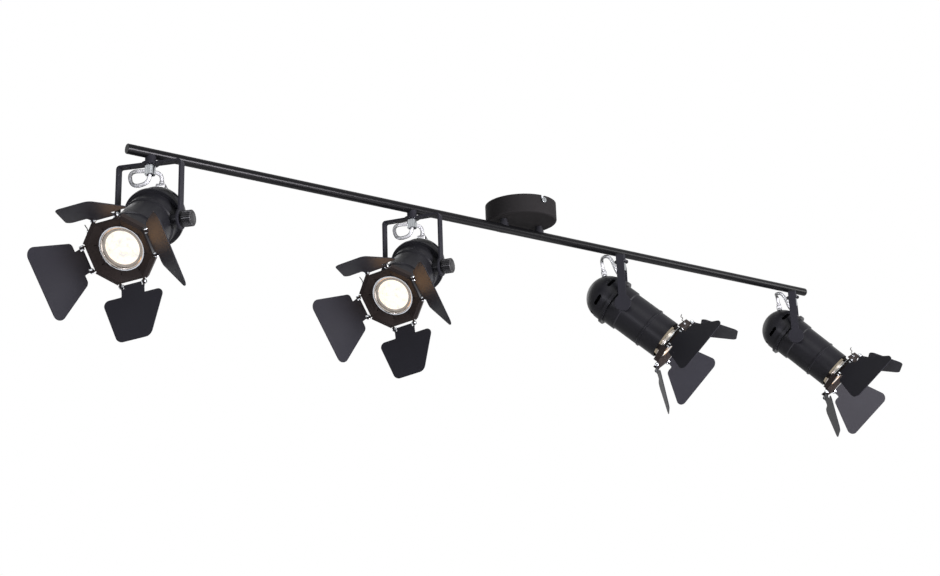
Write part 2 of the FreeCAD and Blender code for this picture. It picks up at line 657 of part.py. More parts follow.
def lamp():
    """Reflector lamp with a domed face, rim, neck and two bayonet pins."""
    rim_back = LAMP_FACE - LAMP_RIM_HEIGHT
    body = turned([
        (0, LAMP_BASE_BACK),
        (LAMP_NECK_RADIUS - LAMP_BASE_CHAMFER, LAMP_BASE_BACK),
        (LAMP_NECK_RADIUS, LAMP_BASE_BACK + LAMP_BASE_CHAMFER_HEIGHT),
        (LAMP_NECK_RADIUS, LAMP_NECK_FRONT),
        (LAMP_BOWL_RADIUS, LAMP_BOWL_HEIGHT),
        (LAMP_SHOULDER_RADIUS, rim_back - LAMP_SHOULDER_DROP),
        (LAMP_RADIUS - LAMP_RIM_EDGE, rim_back),
        (LAMP_RADIUS, rim_back + LAMP_RIM_EDGE),
        (LAMP_RADIUS, LAMP_FACE - LAMP_RIM_EDGE),
        (LAMP_RADIUS - LAMP_RIM_EDGE, LAMP_FACE),
        (LAMP_RADIUS - LAMP_RIM_WIDTH, LAMP_FACE),
        (LAMP_FACE_RADIUS, LAMP_FACE - LAMP_FACE_DEPTH),
        (0, LAMP_FACE - LAMP_FACE_DEPTH),
    ])
    for side in (-1, 1):
        at = Vector(side * LAMP_PIN_SPACING / 2.0, 0, LAMP_BASE_BACK - LAMP_PIN_LENGTH)
        body = body.fuse(cylinder(LAMP_PIN_RADIUS, LAMP_PIN_LENGTH + OVERRUN, at))
    return body.removeSplitter()


def lampholder():
    """Ceramic holder standing on the bridge, bored for the lamp's pins."""
    body = cylinder(HOLDER_RADIUS, LAMP_BASE_BACK - HOLDER_BACK, Vector(0, 0, HOLDER_BACK))
    for side in (-1, 1):
        at = Vector(side * LAMP_PIN_SPACING / 2.0, 0, LAMP_BASE_BACK - HOLDER_HOLE_DEPTH)
        body = body.cut(cylinder(LAMP_PIN_RADIUS + HOLDER_PIN_CLEARANCE, HOLDER_HOLE_DEPTH + OVERRUN, at))
    wire_length = LAMP_BASE_BACK - HOLDER_BACK - HOLDER_HOLE_DEPTH + 2 * OVERRUN
    return body.cut(cylinder(HOLDER_WIRE_RADIUS, wire_length, Vector(0, 0, HOLDER_BACK - OVERRUN)))


def quarter_turns(shape, first=0.0):
    """Four copies of a shape round the head's axis."""
    return [placed(shape, Placement(ORIGIN, Rotation(Z_AXIS, first + 90.0 * i))) for i in range(4)]


def front_frame():
    """Folded octagonal funnel with four rear tabs, back-turned skirts and hinge ears."""
    outer = Part.makeLoft([
        octagon(FRAME_BACK_APOTHEM, FRAME_BACK),
        octagon(FRAME_FRONT_APOTHEM, FRAME_FRONT),
    ], True)
    slope = math.atan2(FRAME_FRONT_APOTHEM - FRAME_BACK_APOTHEM, FRAME_FRONT - FRAME_BACK)
    lift = FRAME_SHEET / math.sin(slope)
    overrun_rise = OVERRUN / math.tan(slope)
    inner = Part.makeLoft([
        octagon(FRAME_BACK_APOTHEM - OVERRUN, FRAME_BACK + lift - overrun_rise),
        octagon(FRAME_FRONT_APOTHEM + OVERRUN, FRAME_FRONT + lift + overrun_rise),
    ], True)
    body = outer.cut(inner)
    aperture = FRAME_BACK_APOTHEM - FRAME_SHEET
    aperture_at = Vector(0, 0, FRAME_BACK - OVERRUN)
    body = body.cut(cylinder(aperture, FRAME_FRONT - FRAME_BACK + 2 * OVERRUN, aperture_at))
    half_tab = FRAME_TAB_WIDTH / 2.0
    tab = block(-half_tab, half_tab, aperture, FRAME_BACK_APOTHEM, FRAME_TAB_BACK, FRAME_BACK + FRAME_SHEET)
    stop_start = HOUSING_FRONT + RUNNING_GAP
    stop_outer = FRAME_BACK_APOTHEM + FRAME_STOP_REACH
    stop = block(-half_tab, half_tab, aperture, stop_outer, stop_start, stop_start + FRAME_STOP_HEIGHT)
    tab = tab.fuse(stop)
    skirt_half = SKIRT_WIDTH / 2.0
    skirt_back = FRAME_FRONT - SKIRT_DEPTH
    skirt_y = SKIRT_APOTHEM - FRAME_SHEET
    skirt = block(-skirt_half, skirt_half, skirt_y, SKIRT_APOTHEM, skirt_back, FRAME_FRONT)
    rim_y = FRAME_FRONT_APOTHEM - SKIRT_RIM_OVERLAP
    rim_z = FRAME_FRONT - FRAME_SHEET
    skirt = skirt.fuse(block(-skirt_half, skirt_half, rim_y, SKIRT_APOTHEM, rim_z, FRAME_FRONT))
    body = body.fuse(quarter_turns(tab, 45.0)).fuse(quarter_turns(skirt, 45.0))
    ears = []
    for side in (-1, 1):
        x0 = side * FRAME_EAR_INNER if side > 0 else -FRAME_EAR_INNER - EAR_SHEET
        at = Vector(x0, HINGE_OFFSET, HINGE_FORWARD)
        ear = cylinder(EAR_RADIUS, EAR_SHEET, at, X_AXIS)
        root_y = FRAME_FRONT_APOTHEM - EAR_ROOT
        web_z = FRAME_FRONT - EAR_ROOT
        web = block(x0, x0 + EAR_SHEET, root_y, HINGE_OFFSET, web_z, HINGE_FORWARD + EAR_WEB_RISE)
        pin = cylinder(HINGE_PIN_RADIUS, EAR_SHEET + 2 * OVERRUN, at - X_AXIS * OVERRUN, X_AXIS)
        ears.append(ear.fuse(web).cut(pin))
    for ear in ears:
        body = body.fuse(quarter_turns(ear))
    half_slit = NOTCH_SLIT_WIDTH / 2.0
    slit_end = aperture + NOTCH_SLIT_LENGTH
    slit_floor = FRAME_BACK + NOTCH_SLIT_SILL
    slit = block(-half_slit, half_slit, NOTCH_SLIT_START, slit_end, slit_floor, FRAME_FRONT + OVERRUN)
    seam = 180.0 / FRAME_SIDES
    for first in (seam, 3.0 * seam):
        for cutter in quarter_turns(slit, first):
            body = body.cut(cutter)
    return body.removeSplitter()


def hinge_screws():
    """Eight pivot screws, each with its head outside and its nut inside the ears."""
    screws = []
    for side in (-1, 1):
        head_at = Vector(side * (FRAME_EAR_INNER + EAR_SHEET), HINGE_OFFSET, HINGE_FORWARD)
        nut_face = LEAF_EAR_INNER - HINGE_NUT_GAP
        nut_at = Vector(side * (nut_face - HINGE_HEAD_HEIGHT), HINGE_OFFSET, HINGE_FORWARD)
        direction = Vector(side, 0, 0)
        head = cylinder(HINGE_HEAD_RADIUS, HINGE_HEAD_HEIGHT, head_at, direction)
        rim_x = side * (FRAME_EAR_INNER + EAR_SHEET + HINGE_HEAD_HEIGHT)
        rim = [e for e in head.Edges if abs(e.BoundBox.Center.x - rim_x) < 1e-6]
        head = head.makeFillet(HINGE_HEAD_ROUND, rim)
        nut = cylinder(HINGE_NUT_RADIUS, HINGE_HEAD_HEIGHT, nut_at, direction)
        length = FRAME_EAR_INNER + EAR_SHEET - nut_face + HINGE_HEAD_HEIGHT
        shank = cylinder(HINGE_PIN_RADIUS, length, nut_at, direction)
        screws += quarter_turns(head.fuse([nut, shank]).removeSplitter())
    return screws


def leaf(inner, outer, inner_half, outer_half):
    """One sheet leaf, its hinge along X and the sheet running out along Y."""
    tab_half = LEAF_EAR_INNER + EAR_SHEET
    tongue_half = LEAF_EAR_INNER - HINGE_NUT_GAP - HINGE_HEAD_HEIGHT - LEAF_TONGUE_GAP
    outline = rounded_outline([
        (-tab_half, LEAF_TAB_START, TAB_ROOT_RADIUS),
        (-tongue_half, LEAF_TAB_START, TAB_ROOT_RADIUS),
        (-tongue_half, -LEAF_TONGUE_PAST, TAB_ROOT_RADIUS),
        (tongue_half, -LEAF_TONGUE_PAST, TAB_ROOT_RADIUS),
        (tongue_half, LEAF_TAB_START, TAB_ROOT_RADIUS),
        (tab_half, LEAF_TAB_START, TAB_ROOT_RADIUS),
        (tab_half, inner, TAB_CORNER_RADIUS),
        (inner_half, inner, LEAF_HEEL_RADIUS),
        (outer_half, outer, LEAF_CORNER_RADIUS),
        (-outer_half, outer, LEAF_CORNER_RADIUS),
        (-inner_half, inner, LEAF_HEEL_RADIUS),
        (-tab_half, inner, TAB_CORNER_RADIUS),
    ])
    sheet = Part.Face(outline).extrude(Vector(0, 0, LEAF_SHEET))
    sheet.translate(Vector(0, 0, -LEAF_SHEET / 2.0))
    for side in (-1, 1):
        x0 = LEAF_EAR_INNER if side > 0 else -LEAF_EAR_INNER - EAR_SHEET
        at = Vector(x0, 0, 0)
        ear = cylinder(LEAF_EAR_RADIUS, EAR_SHEET, at, X_AXIS)
        web = block(x0, x0 + EAR_SHEET, 0, LEAF_TAB_START + LEAF_WEB_REACH, -LEAF_SHEET, LEAF_SHEET)
        sheet = sheet.fuse(ear.fuse(web))
        pin_at = at - X_AXIS * OVERRUN
        sheet = sheet.cut(cylinder(HINGE_PIN_RADIUS + RUNNING_GAP, EAR_SHEET + 2 * OVERRUN, pin_at, X_AXIS))
    return sheet.removeSplitter()


def leaf_place(index, which):
    """Where a leaf (0 left, 1 right, 2 top, 3 bottom) sits in its front frame's own frame."""
    around = (-90.0, 90.0, 0.0, 180.0)[which]
    turn = Placement(ORIGIN, Rotation(Z_AXIS, around))
    open_angle = 90.0 - LEAF_OPENING[index][which]
    hinge = Placement(Vector(0, HINGE_OFFSET, HINGE_FORWARD), Rotation(X_AXIS, open_angle))
    return turn.multiply(hinge)


def tilt_knob():
    """Ribbed clamp knob with its stud through the left leg into the housing's boss."""
    face = LEG_OUTER + RUNNING_GAP
    grip = face + KNOB_COLLAR_LENGTH
    knob = cylinder(KNOB_RADIUS, KNOB_LENGTH, Vector(grip, 0, 0), X_AXIS)
    rims = [e for e in knob.Edges if e.BoundBox.XLength < 1e-6]
    knob = knob.makeChamfer(KNOB_EDGE, rims)
    for i in range(KNOB_RIBS):
        angle = 2.0 * math.pi * i / KNOB_RIBS
        at = Vector(grip - OVERRUN, KNOB_RADIUS * math.cos(angle), KNOB_RADIUS * math.sin(angle))
        knob = knob.cut(cylinder(KNOB_RIB_RADIUS, KNOB_LENGTH + 2 * OVERRUN, at, X_AXIS))
    collar = cylinder(KNOB_COLLAR_RADIUS, KNOB_COLLAR_LENGTH + OVERRUN, Vector(face, 0, 0), X_AXIS)
    stud = cylinder(PIVOT_RADIUS, grip + OVERRUN - KNOB_STUD_END, Vector(KNOB_STUD_END, 0, 0), X_AXIS)
    return knob.fuse([collar, stud]).removeSplitter()


def gland():
    """Moulded strain relief seated on the dome, with two ears."""
    height = GLAND_HEIGHT + GLAND_SINK
    base = DOME_RADIUS - GLAND_SINK
    half = GLAND_LENGTH / 2.0
    half_depth = GLAND_DEPTH / 2.0
    outline = rounded_outline([
        (-half, -half_depth, GLAND_CORNER_RADIUS),
        (half, -half_depth, GLAND_CORNER_RADIUS),
        (half, half_depth, GLAND_CORNER_RADIUS),
        (-half, half_depth, GLAND_CORNER_RADIUS),
    ])
    body = Part.Face(outline).extrude(Vector(0, 0, height))
    body.translate(Vector(0, 0, base))
    for side in (-1, 1):
        at = Vector(side * half, 0, base)
        body = body.fuse(cylinder(GLAND_EAR_RADIUS, GLAND_SINK + GLAND_EAR_HEIGHT, at))
    lean = Placement(Vector(0, 0, DOME_CENTRE), gland_rotation())
    body = placed(body, lean)
    return body.cut(Part.makeSphere(DOME_RADIUS, Vector(0, 0, DOME_CENTRE)))


def cable_line(corners):
    """Straight runs joined by tangent arcs through the given corners, and the arcs' radii."""
    edges = []
    radii = []
    last = corners[0]
    for i in range(1, len(corners) - 1):
        here = corners[i]
        back = corners[i - 1] - here
        ahead = corners[i + 1] - here
        turn = math.pi - back.getAngle(ahead)
        shorter = min(back.Length, ahead.Length)
        reach = BEND_SHARE * shorter
        radius = reach / math.tan(turn / 2.0)
        start = here + back.normalize() * reach
        end = here + ahead.normalize() * reach
        inward = (back + ahead).normalize()
        middle = here + inward * (radius / math.cos(turn / 2.0) - radius)
        edges.append(Part.LineSegment(last, start).toShape())
        edges.append(Part.Arc(start, middle, end).toShape())
        radii.append(round(radius, 1))
        last = end
    edges.append(Part.LineSegment(last, corners[-1]).toShape())
    return Part.Wire(edges), radii


def lamp_cable(index):
    """The clear lamp cable from the swivel nut over the back to the dome, in world terms."""
    to_world = yoke_place(index)
    out_of_dome = gland_direction()
    entry = Vector(0, 0, DOME_CENTRE) + out_of_dome * (DOME_RADIUS + GLAND_HEIGHT)
    above = entry + out_of_dome * CABLE_GLAND_RISE
    place = head_place(index)
    corners = [to_world.multVec(Vector(0, 0, -NIPPLE_REACH - CABLE_START_GAP))]
    corners += [to_world.multVec(Vector(x, -y, z)) for x, y, z in CABLE_CORNERS]
    corners += [place.multVec(above), place.multVec(entry)]
    line, radii = cable_line(corners)
    start = corners[0]
    section = Part.Wire(Part.makeCircle(CABLE_RADIUS, start, corners[1] - start))
    tube = line.makePipeShell([section], True, False)
    ratio = tube.Volume / (math.pi * CABLE_RADIUS ** 2 * line.Length)
    print("cable", index + 1, "length", round(line.Length, 1), "radii", radii)
    print("cable", index + 1, "volume ratio", round(ratio, 4))
    return tube.fuse(placed(gland(), place)).removeSplitter()


def main():
    """Build and write every part."""
    os.makedirs("parts", exist_ok=True)
    save("canopy_cup", canopy_cup())
    save("ceiling_bracket", ceiling_bracket())
    save("canopy_side_screws", canopy_side_screws())
    save("terminal_block", terminal_block())
    save("standoff_posts", standoff_posts())
    save("bar_tube", bar_tube())
    straight = [Placement(Vector(head_x(i), 0, BAR_Z), Rotation()) for i in range(HEAD_COUNT)]
    sleeve = swivel_sleeve()
    nut = swivel_nut()
    save("swivel_sleeves", [placed(sleeve, p) for p in straight])
    save("swivel_nuts", [placed(nut, p) for p in straight])
    side_leaf = leaf(SIDE_LEAF_INNER, SIDE_LEAF_OUTER, SIDE_LEAF_INNER_HALF, SIDE_LEAF_OUTER_HALF)
    cross_leaf = leaf(CROSS_LEAF_INNER, CROSS_LEAF_OUTER, CROSS_LEAF_INNER_HALF, CROSS_LEAF_OUTER_HALF)
    head_parts = {
        "lamp_housing": lamp_housing(),
        "rear_dome": rear_dome(),
        "lamp": lamp(),
        "lampholder": lampholder(),
        "tilt_knob": tilt_knob(),
    }
    front = front_frame()
    screws = hinge_screws()
    stirrup = yoke()
    for i in range(HEAD_COUNT):
        number = str(i + 1)
        place = head_place(i)
        save("yoke_" + number, placed(stirrup, yoke_place(i)))
        for name, shape in head_parts.items():
            save(name + "_" + number, placed(shape, place))
        turned_place = frame_place(i)
        save("front_frame_" + number, placed(front, turned_place))
        save("hinge_screws_" + number, [placed(s, turned_place) for s in screws])
        for which, side in enumerate(("left", "right", "top", "bottom")):
            sheet = side_leaf if which < 2 else cross_leaf
            save("leaf_" + side + "_" + number, placed(sheet, turned_place.multiply(leaf_place(i, which))))
        save("lamp_cable_" + number, lamp_cable(i))


main()
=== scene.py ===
"""Looks of a ceiling bar spotlight with four barn-door heads, dressed over its CAD frame.

Local shapes are written in millimetres and carried into the frame's metres when they are placed.
A head's own frame has X to its left, Y up and Z forwards, with its origin on the tilt pivot.
"""

import json
import logging
import math
from collections.abc import Iterator
from dataclasses import dataclass, field
from enum import Enum

import bmesh
import bpy
from mathutils import Matrix, Vector


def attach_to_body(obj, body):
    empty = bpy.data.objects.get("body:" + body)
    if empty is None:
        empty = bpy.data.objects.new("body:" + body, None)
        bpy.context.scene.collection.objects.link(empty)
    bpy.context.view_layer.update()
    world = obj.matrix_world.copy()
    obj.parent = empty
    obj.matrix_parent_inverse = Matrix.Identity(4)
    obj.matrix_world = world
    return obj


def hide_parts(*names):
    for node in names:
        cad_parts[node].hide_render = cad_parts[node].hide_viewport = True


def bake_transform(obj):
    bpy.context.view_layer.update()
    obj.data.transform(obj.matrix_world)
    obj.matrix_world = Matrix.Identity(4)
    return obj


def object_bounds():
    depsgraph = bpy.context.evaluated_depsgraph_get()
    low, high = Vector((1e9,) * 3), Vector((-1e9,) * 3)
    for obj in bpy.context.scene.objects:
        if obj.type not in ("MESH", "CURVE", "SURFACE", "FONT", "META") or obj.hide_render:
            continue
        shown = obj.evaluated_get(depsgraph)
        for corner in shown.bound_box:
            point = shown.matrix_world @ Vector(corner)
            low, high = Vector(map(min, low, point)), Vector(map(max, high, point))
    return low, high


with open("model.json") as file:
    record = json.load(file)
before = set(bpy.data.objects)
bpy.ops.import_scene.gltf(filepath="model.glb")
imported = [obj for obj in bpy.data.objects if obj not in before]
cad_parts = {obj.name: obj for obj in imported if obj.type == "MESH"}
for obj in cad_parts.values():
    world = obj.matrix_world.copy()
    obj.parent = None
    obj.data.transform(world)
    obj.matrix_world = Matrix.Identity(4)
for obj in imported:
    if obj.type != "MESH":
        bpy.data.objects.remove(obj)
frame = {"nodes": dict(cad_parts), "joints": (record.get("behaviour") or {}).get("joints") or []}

CAD_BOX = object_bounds()
LOG = logging.getLogger("spotlight")
MILLIMETRE = 0.001
HEAD_NUMBERS = (1, 2, 3, 4)
# An edge sharper than this stays sharp, and smoother ones are shaded smooth.
SMOOTH_ANGLE = math.radians(32.0)
# The same for a tube, whose facets are smooth and whose caps are flat.
CAP_ANGLE = math.radians(60.0)
# An edge of a CAD part sharper than this is rounded.
BEVEL_ANGLE = math.radians(42.0)
# Faces of a CAD part that lean less than this from each other become one.
FLAT_ANGLE = math.radians(0.6)
# Corners of a CAD part closer than this, in metres, become one.
CAD_MERGE = 2e-6
# Steps of a smooth line between two of its control points.
LINE_STEPS = 14
# Every finish: its least roughness, and the detail and strength of its grain.
LEAST_ROUGHNESS = 0.02
GRAIN_DETAIL = 2.0
RELIEF_STRENGTH = 0.5
# How narrow a flute is against the rib beside it.
FLUTE_SHARPNESS = 1.5


class Slot(Enum):
    """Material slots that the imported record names."""

    BLACK_COAT = "black_coat"
    ZINC_STEEL = "zinc_steel"
    POST_STEEL = "post_steel"
    CHROME = "chrome"
    TERMINAL_PLASTIC = "terminal_plastic"
    LAMP_GLASS = "lamp_glass"
    CERAMIC = "ceramic"
    CLEAR_PVC = "clear_pvc"
    KNOB_PLASTIC = "knob_plastic"


class Side(Enum):
    """The four leaves of a barn door, from the head's own point of view."""

    LEFT = "left"
    RIGHT = "right"
    TOP = "top"
    BOTTOM = "bottom"


def linear(hex_code: str) -> tuple[float, float, float, float]:
    """Turns an sRGB hex colour to linear light.

    Args:
        hex_code: six hex digits.

    Returns:
        Red, green, blue and an alpha of 1.
    """
    channels = [int(hex_code[i:i + 2], 16) / 255.0 for i in (0, 2, 4)]
    bright = [c / 12.92 if c <= 0.04045 else ((c + 0.055) / 1.055) ** 2.4 for c in channels]
    return (bright[0], bright[1], bright[2], 1.0)


def add_node(tree: bpy.types.NodeTree, kind: str, settings: dict | None = None,
             inputs: dict | None = None) -> bpy.types.Node:
    """Adds one node to a tree with its settings and its inputs.

    Args:
        tree: the tree that takes the node.
        kind: Blender's name for the type of node.
        settings: attributes of the node and their values.
        inputs: sockets by name or index, each with a constant or an output socket to link.

    Returns:
        The new node.
    """
    node = tree.nodes.new(kind)
    for name, value in (settings or {}).items():
        setattr(node, name, value)
    for key, value in (inputs or {}).items():
        if isinstance(value, bpy.types.NodeSocket):
            tree.links.new(value, node.inputs[key])
        else:
            node.inputs[key].default_value = value
    return node


# ---------------------------------------------------------------- finishes


@dataclass(frozen=True)
class Finish:
    """A surface finish: what the shader starts from, before its own pattern."""

    name: str
    colour: str
    roughness: float
    metallic: float = 0.0
    ior: float = 1.5
    specular: float = 0.5
    grain_mm: float = 1.0
    grain_depth_mm: float = 0.01
    roughness_spread: float = 0.06

    def material(self) -> bpy.types.Material:
        """Builds the material, or finds the one that is built already.

        Returns:
            The material.
        """
        made = bpy.data.materials.get(self.name)
        if made is not None:
            return made
        made = bpy.data.materials.new(self.name)
        made.use_nodes = True
        tree = made.node_tree
        shader = tree.nodes["Principled BSDF"]
        shader.inputs["Base Color"].default_value = linear(self.colour)
        shader.inputs["Metallic"].default_value = self.metallic
        shader.inputs["Roughness"].default_value = self.roughness
        shader.inputs["IOR"].default_value = self.ior
        shader.inputs["Specular IOR Level"].default_value = self.specular
        self.dress(tree, shader)
        return made

    def place(self, tree: bpy.types.NodeTree) -> bpy.types.NodeSocket:
        """Returns the socket of coordinates that the pattern lies on."""
        return add_node(tree, "ShaderNodeTexCoord").outputs["Object"]

    def noise(self, tree: bpy.types.NodeTree, size_mm: float, detail: float) -> bpy.types.NodeSocket:
        """Adds noise on the piece's own coordinates.

        Args:
            tree: the material's node tree.
            size_mm: how large its patches are, in millimetres.
            detail: how many finer layers it has.

        Returns:
            The socket of its value.
        """
        return add_node(tree, "ShaderNodeTexNoise", inputs={
            "Vector": self.place(tree), "Scale": 1.0 / (size_mm * MILLIMETRE), "Detail": detail}).outputs[0]

    def crystals(self, tree: bpy.types.NodeTree, size_mm: float) -> bpy.types.Node:
        """Adds Voronoi cells on the piece's own coordinates.

        Args:
            tree: the material's node tree.
            size_mm: how large the cells are, in millimetres.

        Returns:
            Their node.
        """
        return add_node(tree, "ShaderNodeTexVoronoi", inputs={
            "Vector": self.place(tree), "Scale": 1.0 / (size_mm * MILLIMETRE)})

    def tint(self, tree: bpy.types.NodeTree, shader: bpy.types.Node, share: bpy.types.NodeSocket,
             colour: str) -> None:
        """Mixes a second colour into the base colour.

        Args:
            tree: the material's node tree.
            shader: its shader node.
            share: where the second colour shows, from 0 to 1.
            colour: the second colour as six hex digits.
        """
        tone = add_node(tree, "ShaderNodeMix", {"data_type": "RGBA"}, {
            0: share, 6: linear(self.colour), 7: linear(colour)})
        tree.links.new(tone.outputs[2], shader.inputs["Base Color"])

    def dress(self, tree: bpy.types.NodeTree, shader: bpy.types.Node) -> None:
        """Adds fine grain to the roughness and the relief.

        Args:
            tree: the material's node tree.
            shader: its shader node.
        """
        grain = self.noise(tree, self.grain_mm, GRAIN_DETAIL)
        spread = add_node(tree, "ShaderNodeMapRange", inputs={
            "Value": grain,
            "To Min": max(LEAST_ROUGHNESS, self.roughness - self.roughness_spread),
            "To Max": min(1.0, self.roughness + self.roughness_spread)})
        relief = add_node(tree, "ShaderNodeBump", inputs={
            "Height": grain, "Strength": RELIEF_STRENGTH, "Distance": self.grain_depth_mm * MILLIMETRE})
        tree.links.new(spread.outputs[0], shader.inputs["Roughness"])
        tree.links.new(relief.outputs[0], shader.inputs["Normal"])


@dataclass(frozen=True)
class PowderCoat(Finish):
    """Polyester powder sprayed on steel and baked: satin, with a soft orange peel."""

    cloud_mm: float = 45.0
    cloud_detail: float = 3.0
    cloud_colour: str = "1f1f23"

    def dress(self, tree: bpy.types.NodeTree, shader: bpy.types.Node) -> None:
        """Adds the orange peel and a faint clouding where the film is thicker.

        Args:
            tree: the material's node tree.
            shader: its shader node.
        """
        super().dress(tree, shader)
        cloud = self.noise(tree, self.cloud_mm, self.cloud_detail)
        self.tint(tree, shader, cloud, self.cloud_colour)


@dataclass(frozen=True)
class ZincPlate(Finish):
    """Electroplated zinc over pressed steel: pale grey with a soft crystal bloom."""

    crystal_mm: float = 3.0
    crystal_colour: str = "c3c6c9"

    def dress(self, tree: bpy.types.NodeTree, shader: bpy.types.Node) -> None:
        """Adds crystals that differ a little in tone.

        Args:
            tree: the material's node tree.
            shader: its shader node.
        """
        super().dress(tree, shader)
        crystal = self.crystals(tree, self.crystal_mm)
        grey = add_node(tree, "ShaderNodeSeparateColor", inputs={0: crystal.outputs["Color"]})
        self.tint(tree, shader, grey.outputs[0], self.crystal_colour)


@dataclass(frozen=True)
class Speckled(Finish):
    """A fired or moulded body whose surface is mottled by its filler."""

    speckle_mm: float = 1.5
    speckle_detail: float = 5.0
    speckle_start: float = 0.45
    speckle_end: float = 0.75
    speckle_colour: str = "b9b2a2"

    def dress(self, tree: bpy.types.NodeTree, shader: bpy.types.Node) -> None:
        """Adds the mottling.

        Args:
            tree: the material's node tree.
            shader: its shader node.
        """
        super().dress(tree, shader)
        speckle = self.noise(tree, self.speckle_mm, self.speckle_detail)
        share = add_node(tree, "ShaderNodeMapRange", inputs={
            "Value": speckle, "From Min": self.speckle_start, "From Max": self.speckle_end})
        self.tint(tree, shader, share.outputs[0], self.speckle_colour)


@dataclass(frozen=True)
class ClearMoulding(Finish):
    """Plasticised PVC, extruded or moulded without pigment: light passes through it."""

    clearness: float = 0.6
    painted_edge_shade: str = "202124"
    edge_start: float = 0.12
    edge_end: float = 0.6

    def dress(self, tree: bpy.types.NodeTree, shader: bpy.types.Node) -> None:
        """Lets light through, as glass does, and paints shade into its colour where the wall is seen
        edge-on, standing in for the dark edges that clear plastic shows.

        Args:
            tree: the material's node tree.
            shader: its shader node.
        """
        super().dress(tree, shader)
        shader.inputs["Transmission Weight"].default_value = self.clearness
        # Painted shade: the base colour turns dark where the wall is seen edge-on.
        facing = add_node(tree, "ShaderNodeLayerWeight", inputs={"Blend": 0.5})
        edge = add_node(tree, "ShaderNodeMapRange", {"interpolation_type": "SMOOTHSTEP"}, {
            "Value": facing.outputs["Facing"], "From Min": self.edge_start, "From Max": self.edge_end})
        self.tint(tree, shader, edge.outputs[0], self.painted_edge_shade)


@dataclass(frozen=True)
class LitGlass(Finish):
    """A frosted glass front over a burning filament: brightest inside, ringed and dull at its rim."""

    rings: tuple[tuple[float, str], ...] = (
        (0.76, "fffcf7"),
        (0.785, "c9bfb2"),
        (0.81, "857d73"),
        (0.835, "cdc6bd"),
        (0.86, "857d74"),
        (0.885, "bdb6ad"),
    )
    beam: tuple[float, float, float] = (3.6, 1.45, 0.0)
    core_level: float = 1.0
    rim_level: float = 0.55
    core_end: float = 0.765
    core_fade: float = 0.03
    beam_start: float = 0.05
    beam_end: float = 0.01
    facet_mm: float = 2.6
    facet_reach: float = 0.7
    facet_level: float = 0.9
    patch_mm: float = 6.0
    patch_detail: float = 3.0
    patch_start: float = 0.36
    patch_end: float = 0.5
    patch_level: float = 0.85

    def dress(self, tree: bpy.types.NodeTree, shader: bpy.types.Node) -> None:
        """Adds the glow, which follows the distance from the lamp's own axis, its patches and its beam.

        Args:
            tree: the material's node tree.
            shader: its shader node.
        """
        super().dress(tree, shader)
        share = add_node(tree, "ShaderNodeAttribute", {"attribute_name": "radius_share"})
        glow = add_node(tree, "ShaderNodeValToRGB", inputs={0: share.outputs["Fac"]})
        stops = glow.color_ramp.elements
        stops.remove(stops[1])
        stops[0].position, stops[0].color = self.rings[0][0], linear(self.rings[0][1])
        for place, colour in self.rings[1:]:
            stops.new(place).color = linear(colour)
        core = add_node(tree, "ShaderNodeMapRange", {"interpolation_type": "SMOOTHSTEP"}, {
            "Value": share.outputs["Fac"], "From Min": self.core_end,
            "From Max": self.core_end + self.core_fade, "To Min": 1.0, "To Max": 0.0})
        clear = add_node(tree, "ShaderNodeMapRange", {"interpolation_type": "SMOOTHSTEP"}, {
            "Value": self.noise(tree, self.patch_mm, self.patch_detail),
            "From Min": self.patch_start, "From Max": self.patch_end})
        pebble = self.crystals(tree, self.facet_mm)
        sparkle = add_node(tree, "ShaderNodeMapRange", inputs={
            "Value": pebble.outputs["Distance"], "From Max": self.facet_reach,
            "To Min": 1.0, "To Max": self.facet_level})
        dim = add_node(tree, "ShaderNodeMapRange", inputs={
            "Value": clear.outputs[0], "To Min": self.patch_level})
        level = add_node(tree, "ShaderNodeMapRange", inputs={
            "Value": core.outputs[0], "To Min": self.rim_level, "To Max": self.core_level})
        inner = add_node(tree, "ShaderNodeMapRange", {"interpolation_type": "SMOOTHSTEP"}, {
            "Value": share.outputs["Fac"], "From Min": self.core_end - self.beam_start,
            "From Max": self.core_end - self.beam_end, "To Min": 1.0, "To Max": 0.0})
        through = add_node(tree, "ShaderNodeMath", {"operation": "MULTIPLY"}, {
            0: inner.outputs[0], 1: clear.outputs[0]})
        lit = add_node(tree, "ShaderNodeMix", {"data_type": "RGBA", "blend_type": "ADD"}, {
            "Factor": through.outputs[0], 6: glow.outputs[0], 7: (*self.beam, 1.0)})
        shade = add_node(tree, "ShaderNodeMath", {"operation": "MULTIPLY"}, {
            0: sparkle.outputs[0], 1: dim.outputs[0]})
        power = add_node(tree, "ShaderNodeMath", {"operation": "MULTIPLY"}, {
            0: level.outputs[0], 1: shade.outputs[0]})
        tree.links.new(lit.outputs[2], shader.inputs["Emission Color"])
        tree.links.new(power.outputs[0], shader.inputs["Emission Strength"])


@dataclass(frozen=True)
class GlowingMirror(Finish):
    """Aluminised pressed glass whose facets leak a little of the lamp's light backwards."""

    glow: float = 0.34
    glow_colour: str = "f0dfc4"

    def dress(self, tree: bpy.types.NodeTree, shader: bpy.types.Node) -> None:
        """Adds the leaked light as a plain emission.

        Args:
            tree: the material's node tree.
            shader: its shader node.
        """
        super().dress(tree, shader)
        shader.inputs["Emission Color"].default_value = linear(self.glow_colour)
        shader.inputs["Emission Strength"].default_value = self.glow


# Satin black powder coat on steel: nearly black, soft highlights, orange peel about 1.6 mm across.
BLACK_COAT = PowderCoat("satin_black_powder_coat", "1b1b1e", 0.44, specular=0.035, grain_mm=1.6,
                        grain_depth_mm=0.02)
# Semi-gloss black coat on the bar's drawn tube: its highlight is a narrow line between black edges.
BAR_COAT = PowderCoat("semi_gloss_black_coat_on_drawn_tube", "09090a", 0.24, specular=0.08, grain_mm=1.2,
                      grain_depth_mm=0.008, cloud_colour="0c0c0d")
